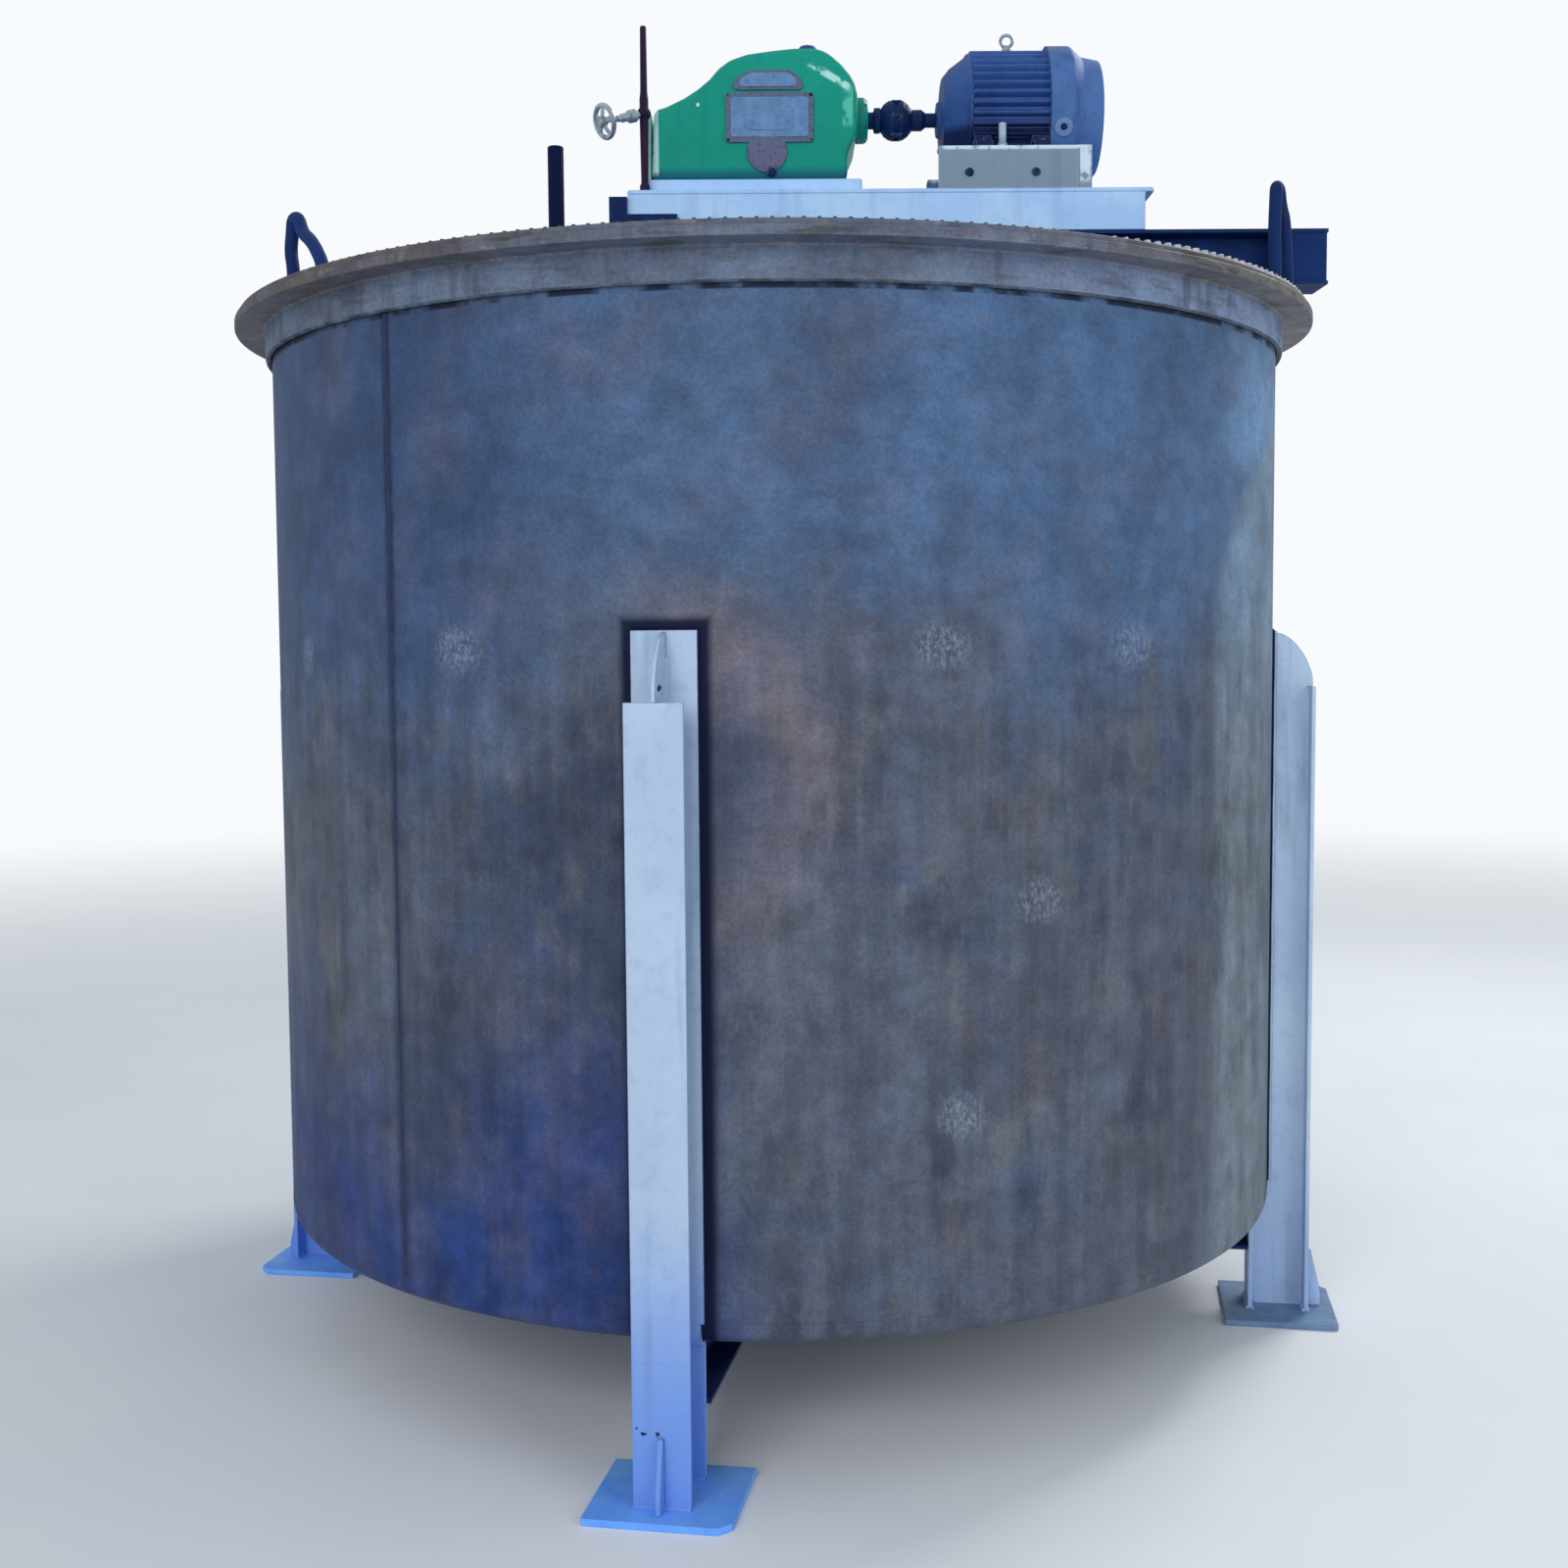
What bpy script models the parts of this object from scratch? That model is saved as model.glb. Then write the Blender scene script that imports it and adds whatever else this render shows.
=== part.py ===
"""Jacketed mixing tank on four legs, with a geared agitator drive on a bridge over its cover.

Metres, +Z up, the front (the side that the photograph shows) faces -Y.
The drive line runs along +X, from the gearbox on the left to the motor on the right.
Run it with: blender --background --python part.py
"""
import math

import bmesh
import bpy
from mathutils import Matrix, Vector

# Driving dimensions
GAP = 0.0003                 # clearance between pieces that touch
TANK_R = 1.200               # outside of the jacket
WALL = 0.008                 # jacket and vessel plate
TANK_BOTTOM = 0.292          # underside of the tank above the floor
KNUCKLE = 0.030              # bend radius of the bottom pan
PAN_TOP = 0.330              # the rolled wall plates stand on the pan here
SEAM_AZIMUTH = -40.0         # first vertical seam, from the front towards +X
ROUND_STEPS = 96             # facets of every large circle
VESSEL_R = 1.1097            # outside of the inner vessel
VESSEL_BOTTOM = 0.372
FLANGE_R = 1.280
FLANGE_Z = (2.352, 2.372)
BELT_R = (1.2012, 1.213)
BELT_BOTTOM = 2.288
COVER_R = 1.272
COVER_T = 0.012
COVER_TOP = FLANGE_Z[1] + GAP + COVER_T

LEG_AZIMUTH = -10.0          # the front leg, from the front towards +X
LEG_FACE_R = 1.300           # outer face of the leg's outer flange
LEG_WIDTH = 0.1126
LEG_FLANGE = 0.010
LEG_WEB = 0.008
LEG_INNER_R = 1.158          # inner face of the leg's inner flange, below the tank
LEG_TOP = 1.520              # top of the outer flange
PAD_TOP = 1.652
NOSE = (0.082, 0.116)        # width and height of the web's round corner
PAD_WIDTH = 0.126
PAD_T = 0.010
FOOT_R = (1.100, 1.362)
FOOT_WIDTH = 0.285
FOOT_T = 0.014
FOOT_CLIP = 0.024
BEAM = 0.130                 # depth and width of the beams under the tank and of the bridge
BEAM_FLANGE = 0.009
BEAM_WEB = 0.007

BEARER = 0.088               # section of the cross bearers on the cover
BEARER_X = (-0.450, 1.020)
BEARER_HALF = 0.240
BRIDGE_Y = 0.115             # centre line of each bridge beam
BRIDGE_X = (-0.560, 1.315)
BRIDGE_Z = COVER_TOP + GAP + BEARER + GAP

BASE_X = (-0.345, 0.880)
BASE_Y = 0.180
BASE_Z = BRIDGE_Z + BEAM + GAP
BASE_H = 0.088
BASE_FLANGE = 0.046
BASE_PLATE_T = 0.010
BASE_PLATE_X = (-0.345, 0.902)
BASE_TOP = BASE_Z + BASE_H + GAP + BASE_PLATE_T
SOLE_X = (-0.306, 0.212)
SOLE_Y = 0.150
SOLE_T = 0.031
SOLE_TOP = BASE_TOP + GAP + SOLE_T

SHAFT_Z = 2.908
GEAR_Y = 0.130
GEAR_BOTTOM = SOLE_TOP + GAP
GEAR_RIGHT = 0.203
GEAR_LEFT = -0.290
CAP_FACE = 0.232             # outer face of the input bearing cap

MOTOR_X = (0.478, 0.660)     # finned frame
MOTOR_R = 0.158
FIN_ROOT = 0.141
FINS = 40
SHIELD_X = 0.400             # face of the drive end shield
COWL_END = 0.791
COWL_R = 0.168
BOX_X = (0.509, 0.629)       # terminal box on the hidden side of the motor
BOX_Z = (2.862, 2.972)
BOX_DEPTH = 0.058
RAIL_X = (0.391, 0.754)
RAIL_TOP = 2.800
RAIL_LEG = 0.045
RAIL_T = 0.008

PIPE_X, PIPE_Y = -0.3038, -0.1655    # standpipe, in front of the sole plate
PIPE_TOP = 3.083
VALVE_Z = 2.881
VALVE_TURN = math.radians(217)       # the valve points left and forwards
VALVE_TILT = math.radians(18)        # and down
TEE_R = 0.0165                       # ball on the standpipe that the valve is screwed into
VALVE_STEM = 0.018                   # length of the gland between the valve's body and its handwheel
VENT_XY = (-0.464, -0.600)
VENT_TOP = 2.689

LUGS = (("lifting_lug_left", -50.0, 0.130, 0.130, 0.48),
        ("lifting_lug_right", 62.0, 0.120, 0.215, 0.68),
        ("lifting_lug_rear", 186.0, 0.130, 0.130, 0.48))
LUG_R = 1.240
LUG_BAR = 0.012

bpy.context.preferences.edit.use_global_undo = False
for old in list(bpy.data.objects):
    bpy.data.objects.remove(old, do_unlink=True)

parts = bpy.data.collections.new("jacketed_mixing_tank")
cutters = bpy.data.collections.new("cutters")
bpy.context.scene.collection.children.link(parts)
bpy.context.scene.collection.children.link(cutters)


def paint(name, colour, roughness, metallic):
    """A Principled material with one colour."""
    mat = bpy.data.materials.new(name)
    mat.use_nodes = True
    shader = mat.node_tree.nodes["Principled BSDF"]
    shader.inputs["Base Color"].default_value = (*colour, 1)
    shader.inputs["Roughness"].default_value = roughness
    shader.inputs["Metallic"].default_value = metallic
    mat.diffuse_color = (*colour, 1)
    return mat


JACKET = paint("jacket_steel", (0.16, 0.17, 0.20), 0.6, 0.5)
RIM = paint("rim_steel", (0.22, 0.21, 0.20), 0.6, 0.5)
VESSEL = paint("vessel_steel", (0.45, 0.46, 0.47), 0.4, 0.9)
LEG = paint("leg_paint", (0.42, 0.52, 0.72), 0.5, 0.0)
BASE = paint("base_paint", (0.55, 0.62, 0.78), 0.5, 0.0)
GREEN = paint("gearbox_green", (0.02, 0.34, 0.22), 0.45, 0.0)
BLUE = paint("motor_blue", (0.09, 0.13, 0.26), 0.5, 0.0)
NAVY = paint("beam_navy", (0.010, 0.018, 0.06), 0.55, 0.0)
BLACK = paint("coupling_black", (0.012, 0.014, 0.03), 0.5, 0.3)
ZINC = paint("zinc", (0.55, 0.60, 0.62), 0.35, 0.9)
PLATE = paint("bare_plate", (0.24, 0.27, 0.34), 0.5, 0.5)
MAROON = paint("pipe_maroon", (0.06, 0.02, 0.06), 0.5, 0.2)


def keep(obj, name, mat):
    """Name an object, give it its material and put it with the parts."""
    obj.name = name
    obj.data.name = name
    obj.data.materials.clear()
    obj.data.materials.append(mat)
    for coll in list(obj.users_collection):
        coll.objects.unlink(obj)
    parts.objects.link(obj)
    return obj


def box(name, mat, x, y, z, bevel=0.0):
    """A block between two values on each axis, its edges rounded if a bevel is given."""
    bpy.ops.mesh.primitive_cube_add(size=1)
    obj = bpy.context.object
    obj.scale = (x[1] - x[0], y[1] - y[0], z[1] - z[0])
    bpy.ops.object.transform_apply(location=False, rotation=False, scale=True)
    obj.location = ((x[0] + x[1]) / 2, (y[0] + y[1]) / 2, (z[0] + z[1]) / 2)
    if bevel:
        rounding = obj.modifiers.new("Edges", "BEVEL")
        rounding.width = bevel
        rounding.segments = 2
    return keep(obj, name, mat)


def turned(name, mat, profile, place=(0, 0, 0), turn=(0, 0, 0), steps=ROUND_STEPS):
    """Turn a profile of (radius, height) points about the object's Z axis.

    A profile that ends on the axis is open there, any other one is a closed ring.
    Its points are put in the order that runs down the outer side, so the faces point outwards."""
    area = sum(a[0] * b[1] - b[0] * a[1] for a, b in zip(profile, profile[1:] + profile[:1]))
    if area > 0:
        profile = profile[::-1]
    bm = bmesh.new()
    verts = [bm.verts.new((r, 0, h)) for r, h in profile]
    for a, b in zip(verts, verts[1:]):
        bm.edges.new((a, b))
    if profile[0][0] > 0 or profile[-1][0] > 0:
        bm.edges.new((verts[-1], verts[0]))
    mesh = bpy.data.meshes.new(name)
    bm.to_mesh(mesh)
    bm.free()
    obj = bpy.data.objects.new(name, mesh)
    parts.objects.link(obj)
    screw = obj.modifiers.new("Turn", "SCREW")
    screw.steps = screw.render_steps = steps
    screw.use_merge_vertices = True
    screw.merge_threshold = 0.00001
    obj.location = place
    obj.rotation_euler = turn
    return keep(obj, name, mat)


def outline(name, mat, points, thickness, place=(0, 0, 0), turn=(0, 0, 0), bevel=0.0):
    """Extrude a flat outline along the object's Z axis, centred on it."""
    curve = bpy.data.curves.new(name, "CURVE")
    curve.dimensions = "2D"
    curve.fill_mode = "BOTH"
    spline = curve.splines.new("POLY")
    spline.points.add(len(points) - 1)
    for point, (a, b) in zip(spline.points, points):
        point.co = (a, b, 0, 1)
    spline.use_cyclic_u = True
    curve.extrude = thickness / 2
    obj = bpy.data.objects.new(name, curve)
    parts.objects.link(obj)
    obj.location = place
    obj.rotation_euler = turn
    if bevel:
        weld = obj.modifiers.new("Weld", "WELD")
        weld.merge_threshold = 0.00001
        rounding = obj.modifiers.new("Edges", "BEVEL")
        rounding.width = bevel
        rounding.segments = 3
        rounding.limit_method = "ANGLE"
        rounding.angle_limit = math.radians(50)
    return keep(obj, name, mat)


def bar(name, mat, path, radius, sides=3):
    """A round bar along a path, with filled ends."""
    curve = bpy.data.curves.new(name, "CURVE")
    curve.dimensions = "3D"
    spline = curve.splines.new("POLY")
    spline.points.add(len(path) - 1)
    for point, co in zip(spline.points, path):
        point.co = (*co, 1)
    curve.bevel_depth = radius
    curve.bevel_resolution = sides
    curve.use_fill_caps = True
    obj = bpy.data.objects.new(name, curve)
    parts.objects.link(obj)
    return keep(obj, name, mat)


def as_mesh(obj):
    """Replace a curve or a modified object with a plain mesh object in the same place."""
    bpy.context.view_layer.update()
    evaluated = obj.evaluated_get(bpy.context.evaluated_depsgraph_get())
    mesh = bpy.data.meshes.new_from_object(evaluated)
    bm = bmesh.new()
    bm.from_mesh(mesh)
    bmesh.ops.remove_doubles(bm, verts=bm.verts, dist=0.00001)
    bm.transform(obj.matrix_world)
    bmesh.ops.recalc_face_normals(bm, faces=bm.faces)
    bm.to_mesh(mesh)
    bm.free()
    name, mat = obj.name, obj.data.materials[0]
    bpy.data.objects.remove(obj, do_unlink=True)
    solid = bpy.data.objects.new(name, mesh)
    parts.objects.link(solid)
    return keep(solid, name, mat)


def fuse(obj, others):
    """Weld other solids onto a mesh object."""
    obj = as_mesh(obj)
    for other in others:
        other = as_mesh(other)
        union = obj.modifiers.new("Weld " + other.name, "BOOLEAN")
        union.operation = "UNION"
        union.solver = "EXACT"
        union.object = other
        obj = as_mesh(obj)
        bpy.data.objects.remove(other, do_unlink=True)
    return obj


def around(obj, azimuth):
    """Turn an object about the tank's axis, from the front towards +X."""
    bpy.context.view_layer.update()
    obj.matrix_world = Matrix.Rotation(math.radians(azimuth), 4, "Z") @ obj.matrix_world
    return obj


def arc(radius, start, end, steps):
    """Points on a circle about the tank's axis, by azimuth in degrees from the front."""
    angles = [math.radians(start + (end - start) * i / steps) for i in range(steps + 1)]
    return [(radius * math.sin(a), -radius * math.cos(a)) for a in angles]


def h_section(depth, width, flange, web):
    """Outline of a rolled beam, its depth along the second axis."""
    half, side, w = depth / 2, width / 2, web / 2
    return [(-side, -half), (side, -half), (side, -half + flange), (w, -half + flange),
            (w, half - flange), (side, half - flange), (side, half), (-side, half),
            (-side, half - flange), (-w, half - flange), (-w, -half + flange), (-side, -half + flange)]


ALONG_X = (math.pi / 2, 0, math.pi / 2)     # outline's axes go to +Y and +Z, its extrusion to +X
ALONG_Y = (math.pi / 2, 0, 0)               # outline's axes go to +X and +Z, its extrusion to -Y
TURN_X = (0, math.pi / 2, 0)                # a turned piece's axis goes to +X


def build_tank():
    """Rolled jacket plates, bottom pan, inner vessel, rim ring and cover."""
    names = ("jacket_plate_front", "jacket_plate_right", "jacket_plate_rear", "jacket_plate_left")
    seam = math.degrees(GAP / TANK_R)
    low, high = PAN_TOP + GAP, FLANGE_Z[0] - GAP
    for i, name in enumerate(names):
        start = SEAM_AZIMUTH + 90 * i + seam
        end = SEAM_AZIMUTH + 90 * (i + 1) - seam
        ring = arc(TANK_R, start, end, ROUND_STEPS // 4)
        ring += arc(TANK_R - WALL, end, start, ROUND_STEPS // 4)
        outline(name, JACKET, ring, high - low, (0, 0, (low + high) / 2))

    def knuckle(centre_r, centre_z, radius, first, last):
        return [(centre_r + radius * math.cos(math.radians(first + (last - first) * i / 5)),
                 centre_z + radius * math.sin(math.radians(first + (last - first) * i / 5)))
                for i in range(6)]

    middle_r, middle_z = TANK_R - KNUCKLE, TANK_BOTTOM + KNUCKLE
    turned("jacket_bottom", JACKET, [(0, TANK_BOTTOM + WALL)]
           + knuckle(middle_r, middle_z, KNUCKLE - WALL, -90, 0)
           + [(TANK_R - WALL, PAN_TOP), (TANK_R, PAN_TOP)]
           + knuckle(middle_r, middle_z, KNUCKLE, 0, -90) + [(0, TANK_BOTTOM)])

    bend = 0.060
    top = FLANGE_Z[1] - GAP
    middle_r, middle_z = VESSEL_R - bend, VESSEL_BOTTOM + bend
    turned("inner_vessel", VESSEL, [(0, VESSEL_BOTTOM + WALL)]
           + knuckle(middle_r, middle_z, bend - WALL, -90, 0)
           + [(VESSEL_R - WALL, top), (VESSEL_R, top)]
           + knuckle(middle_r, middle_z, bend, 0, -90) + [(0, VESSEL_BOTTOM)])

    turned("rim_ring", RIM, [(FLANGE_R, FLANGE_Z[1]), (FLANGE_R, FLANGE_Z[0]),
                             (BELT_R[1], FLANGE_Z[0]), (BELT_R[1], BELT_BOTTOM),
                             (BELT_R[0], BELT_BOTTOM), (BELT_R[0], FLANGE_Z[0]),
                             (VESSEL_R + GAP, FLANGE_Z[0]), (VESSEL_R + GAP, FLANGE_Z[1])])
    low = FLANGE_Z[1] + GAP
    turned("cover_plate", RIM, [(0, COVER_TOP), (COVER_R, COVER_TOP), (COVER_R, low), (0, low)])


def build_legs():
    """Four coped beam legs with their pads, foot plates and the beams under the tank."""
    floor = FOOT_T + GAP
    half = LEG_WIDTH / 2
    names = ("front", "right", "rear", "left")
    pad_r = (TANK_R + GAP) / math.cos(math.radians(1))
    web_in = pad_r + PAD_T - 0.002
    for i, side in enumerate(names):
        azimuth = LEG_AZIMUTH + 90 * i
        outer = box("leg_" + side, LEG, (-half, half), (-LEG_FACE_R, -LEG_FACE_R + LEG_FLANGE),
                    (floor, LEG_TOP))
        inner = box("inner", LEG, (-half, half), (-LEG_INNER_R - LEG_FLANGE, -LEG_INNER_R),
                    (floor, TANK_BOTTOM - GAP))
        out_r, in_r = LEG_FACE_R - 0.002, LEG_INNER_R + 0.002
        shape = [(-out_r, floor), (-in_r, floor), (-in_r, TANK_BOTTOM - 0.002),
                 (-web_in, TANK_BOTTOM - 0.002), (-web_in, PAD_TOP - 0.004)]
        wide, tall = NOSE
        shape += [(-out_r + wide - wide * math.sin(math.radians(a)),
                   PAD_TOP - 0.004 - tall + tall * math.cos(math.radians(a)))
                  for a in (0, 15, 30, 45, 60, 75, 90)]
        web = outline("web", LEG, shape, LEG_WEB, turn=(math.pi / 2, 0, math.pi / 2))
        reach = math.degrees(PAD_WIDTH / 2 / TANK_R)
        ring = arc(pad_r, -reach, reach, 4) + arc(pad_r + PAD_T, reach, -reach, 4)
        low = PAN_TOP + 0.006
        pad = outline("pad", LEG, ring, PAD_TOP - low, (0, 0, (PAD_TOP + low) / 2))
        rib = outline("rib", LEG, [(-LEG_FACE_R + 0.003, floor), (-LEG_FACE_R + 0.003, 0.150),
                                   (-LEG_FACE_R - 0.010, 0.150), (-LEG_FACE_R - 0.034, 0.045),
                                   (-LEG_FACE_R - 0.034, floor)],
                      0.010, turn=(math.pi / 2, 0, math.pi / 2))
        around(fuse(outer, [web, inner, pad, rib]), azimuth)

        w = FOOT_WIDTH / 2
        clip = FOOT_CLIP
        plate = outline("foot_plate_" + side, LEG,
                        [(-w, -FOOT_R[0]), (-w, -FOOT_R[1]), (w - clip, -FOOT_R[1]),
                         (w, -FOOT_R[1] + clip), (w, -FOOT_R[0])], FOOT_T, (0, 0, FOOT_T / 2))
        around(plate, azimuth)

    section = h_section(BEAM, BEAM, BEAM_FLANGE, BEAM_WEB)
    z = TANK_BOTTOM - GAP - BEAM / 2
    end = LEG_INNER_R - GAP
    start = BEAM / 2 + GAP
    around(outline("under_beam_long", NAVY, section, 2 * end, (0, 0, z), ALONG_Y), LEG_AZIMUTH)
    for side, sign in (("right", 1), ("left", -1)):
        around(outline("under_beam_" + side, NAVY, section, end - start,
                       (sign * (start + end) / 2, 0, z), ALONG_X), LEG_AZIMUTH)


def build_lugs():
    """Bent round bars on the rim: one upright end, a round top and one slanted end."""
    for name, azimuth, width, height, slope in LUGS:
        foot = COVER_TOP + GAP
        w, bend = width / 2, 0.026
        path = [(-w, 0), (-w, height * 0.45), (-w, height - bend - LUG_BAR)]
        for a in (30, 60, 90, 120):
            angle = math.radians(180 - a)
            path.append((-w + bend + bend * math.cos(angle),
                         height - bend - LUG_BAR + bend * math.sin(angle)))
        path += [(w * slope * 0.75, height * slope), (w - 0.004, 0.016), (w, 0.008), (w, 0)]
        points = [(t, -LUG_R, foot + h) for t, h in path]
        around(bar(name, NAVY, points, LUG_BAR), azimuth)


def build_bridge():
    """Cross bearers on the cover, and twin beams on top of them."""
    section = h_section(BEARER, BEARER, 0.008, 0.007)
    z = COVER_TOP + GAP + BEARER / 2
    for side, x in zip(("left", "right"), BEARER_X):
        outline("cross_bearer_" + side, NAVY, section, 2 * BEARER_HALF, (x, 0, z), ALONG_Y)
    section = h_section(BEAM, BEAM, BEAM_FLANGE, BEAM_WEB)
    middle, length = sum(BRIDGE_X) / 2, BRIDGE_X[1] - BRIDGE_X[0]
    z = BRIDGE_Z + BEAM / 2
    for side, sign in (("front", -1), ("rear", 1)):
        outline("bridge_beam_" + side, NAVY, section, length,
                (middle, sign * BRIDGE_Y, z), ALONG_X)


def build_base():
    """Channel frame with its top plate, sole plate, motor rails and the clips at its left end."""
    t = 0.007
    h, f = BASE_H, BASE_FLANGE
    length, middle = BASE_X[1] - BASE_X[0], sum(BASE_X) / 2
    for side, sign in (("front", -1), ("rear", 1)):
        shape = [(0, 0), (f, 0), (f, t), (t, t), (t, h - t), (f, h - t), (f, h), (0, h)]
        shape = [(sign * (BASE_Y - a), b) for a, b in shape]
        outline("base_channel_" + side, BASE, shape, length, (middle, 0, BASE_Z), ALONG_X)
        rail = [(0, 0), (RAIL_T, 0), (RAIL_T, RAIL_TOP - BASE_TOP - GAP - RAIL_T),
                (RAIL_LEG, RAIL_TOP - BASE_TOP - GAP - RAIL_T),
                (RAIL_LEG, RAIL_TOP - BASE_TOP - GAP), (0, RAIL_TOP - BASE_TOP - GAP)]
        rail = [(sign * (BASE_Y - a), b) for a, b in rail]
        outline("motor_rail_" + side, BASE, rail, RAIL_X[1] - RAIL_X[0],
                (sum(RAIL_X) / 2, 0, BASE_TOP + GAP), ALONG_X)
    low = BASE_Z + BASE_H + GAP
    box("base_top_plate", BASE, BASE_PLATE_X, (-BASE_Y, BASE_Y), (low, BASE_TOP), 0.003)
    box("gearbox_sole_plate", BASE, SOLE_X, (-SOLE_Y, SOLE_Y), (BASE_TOP + GAP, SOLE_TOP), 0.003)

    left, near = BASE_X[0] - GAP, -BASE_Y - GAP
    upright = box("base_clip", NAVY, (left - 0.042, left), (near - 0.012, -0.060),
                  (BASE_Z, BASE_Z + 0.080))
    toe = box("toe", NAVY, (left - 0.040, left + 0.118), (near - 0.011, near),
              (BASE_Z, BASE_Z + 0.040))
    fuse(upright, [toe])


def build_gearbox():
    """Cast housing with its end cover, side plate, bearing cap, breather and output pedestal."""
    low = GEAR_BOTTOM
    shape = [(GEAR_LEFT, low), (0.178, low), (0.178, 2.800), (0.188, 2.818), (GEAR_RIGHT, 2.852),
             (GEAR_RIGHT, 2.950), (0.189, 2.978), (0.168, 3.003), (0.142, 3.026), (0.114, 3.044),
             (0.050, 3.044), (0.000, 3.039), (-0.060, 3.031), (-0.100, 3.018), (-0.127, 2.999),
             (-0.150, 2.973), (-0.178, 2.950), (-0.212, 2.929), (-0.257, 2.908), (-0.283, 2.902)]
    outline("gearbox_housing", GREEN, shape, 2 * GEAR_Y, turn=ALONG_Y, bevel=0.016)

    box("gearbox_end_cover", GREEN, (GEAR_LEFT - GAP - 0.016, GEAR_LEFT - GAP), (-0.112, 0.112),
        (low + 0.004, 2.902), 0.004)

    plate = [(-0.112, 2.828), (-0.034, 2.822)]
    plate += [(0.008 + 0.040 * math.cos(math.radians(a)), 2.788 + 0.040 * math.sin(math.radians(a)))
              for a in range(150, 391, 20)]
    plate += [(0.050, 2.822), (0.106, 2.828), (0.106, 2.940), (0.086, 2.950), (0.080, 2.978),
              (0.050, 2.996), (-0.046, 2.996), (-0.076, 2.978), (-0.082, 2.950), (-0.112, 2.940)]
    outline("gearbox_side_plate", PLATE, plate, 0.006, (0, -GEAR_Y - GAP - 0.003, 0), ALONG_Y)

    start = GEAR_RIGHT + GAP
    turned("gearbox_bearing_cap", GREEN, [(0, 0), (0.054, 0), (0.054, 0.018), (0.046, CAP_FACE - start),
                                          (0.0208, CAP_FACE - start), (0.0208, 0.005), (0, 0.005)],
           (start, 0, SHAFT_Z), TURN_X, 32)
    turned("gearbox_breather", GREEN, [(0, 0), (0.015, 0), (0.015, 0.014), (0.024, 0.018),
                                       (0.024, 0.034), (0.018, 0.041), (0, 0.041)],
           (0.086, 0, 3.044 + GAP), steps=24)
    turned("output_pedestal", GREEN, [(0, 0), (0.085, 0), (0.085, 0.022), (0.043, 0.026),
                                      (0.043, BASE_Z + BASE_H - COVER_TOP - GAP),
                                      (0, BASE_Z + BASE_H - COVER_TOP - GAP)],
           (0, 0, COVER_TOP + GAP), steps=32)


def build_coupling():
    """Gearbox input shaft, coupling and motor shaft, which turn together about the drive line."""
    axis = bpy.data.objects.new("drive_axis", None)
    axis.location = (0, 0, SHAFT_Z)
    parts.objects.link(axis)
    pieces = [
        turned("input_shaft", BLACK, [(0, 0.2140), (0.020, 0.2140), (0.020, 0.2460), (0.030, 0.2480),
                                      (0.030, 0.2627), (0, 0.2627)], turn=TURN_X, steps=32),
        turned("coupling", BLACK, [(0, 0.2630), (0.024, 0.2630), (0.038, 0.2740), (0.046, 0.2900),
                                   (0.048, 0.3020), (0.046, 0.3140), (0.038, 0.3290),
                                   (0.026, 0.3397), (0, 0.3397)], turn=TURN_X, steps=32),
        turned("motor_shaft", BLACK, [(0, 0.3400), (0.025, 0.3400), (0.025, 0.3640), (0.017, 0.3760),
                                      (0.017, 0.4240), (0, 0.4240)], turn=TURN_X, steps=32),
    ]
    for piece in pieces:
        piece.parent = axis


def build_motor():
    """Finned frame with its feet, drive end shield, fan cowl, lifting eye and terminal box."""
    points = []
    pitch = 2 * math.pi / FINS
    for i in range(FINS):
        for part, radius in ((-0.30, FIN_ROOT), (-0.22, MOTOR_R), (0.22, MOTOR_R), (0.30, FIN_ROOT)):
            angle = (i + part) * pitch
            points.append((radius * math.cos(angle), radius * math.sin(angle)))
    body = outline("motor_frame", BLUE, points, MOTOR_X[1] - MOTOR_X[0],
                   (sum(MOTOR_X) / 2, 0, SHAFT_Z), ALONG_X)
    feet = []
    drop = RAIL_TOP + GAP - SHAFT_Z
    for sign in (-1, 1):
        shape = [(0.100, -0.060), (0.138, -0.075), (0.140, drop + 0.014), (0.176, drop + 0.014),
                 (0.176, drop), (0.137, drop), (0.128, drop + 0.010), (0.095, -0.082)]
        shape = [(sign * a, b) for a, b in shape]
        for x in (MOTOR_X[0] + 0.022, MOTOR_X[1] - 0.022):
            feet.append(outline("foot", BLUE, shape, 0.040, (x, 0, SHAFT_Z), ALONG_X))
    fuse(body, feet)

    length = MOTOR_X[0] - GAP - SHIELD_X
    turned("motor_end_shield", BLUE, [(0, 0.032), (0.0178, 0.032), (0.0178, 0), (0.040, 0),
                                      (0.044, 0.010), (0.096, 0.012), (0.118, 0.030),
                                      (0.142, 0.064), (0.152, 0.070), (0.152, length), (0, length)],
           (SHIELD_X, 0, SHAFT_Z), TURN_X, 48)
    near = MOTOR_R + GAP
    box("motor_terminal_box", BLUE, BOX_X, (near, near + BOX_DEPTH), BOX_Z, 0.005)
    start = MOTOR_X[1] + GAP
    length = COWL_END - start
    turned("motor_fan_cowl", BLUE, [(0, 0), (COWL_R, 0), (COWL_R, 0.056), (0.143, 0.084),
                                    (0.134, length), (0, length)], (start, 0, SHAFT_Z), TURN_X, 48)

    bpy.ops.mesh.primitive_torus_add(major_radius=0.0145, minor_radius=0.0042, major_segments=20,
                                     minor_segments=8, rotation=(math.pi / 2, 0, 0),
                                     location=(0.573, 0, SHAFT_Z + 0.188))
    ring = keep(bpy.context.object, "motor_lifting_eye", ZINC)
    stem = turned("stem", ZINC, [(0, 0), (0.012, 0), (0.012, 0.010), (0.006, 0.0185), (0, 0.0185)],
                  (0.573, 0, SHAFT_Z + MOTOR_R + GAP), steps=16)
    fuse(ring, [stem])


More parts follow.
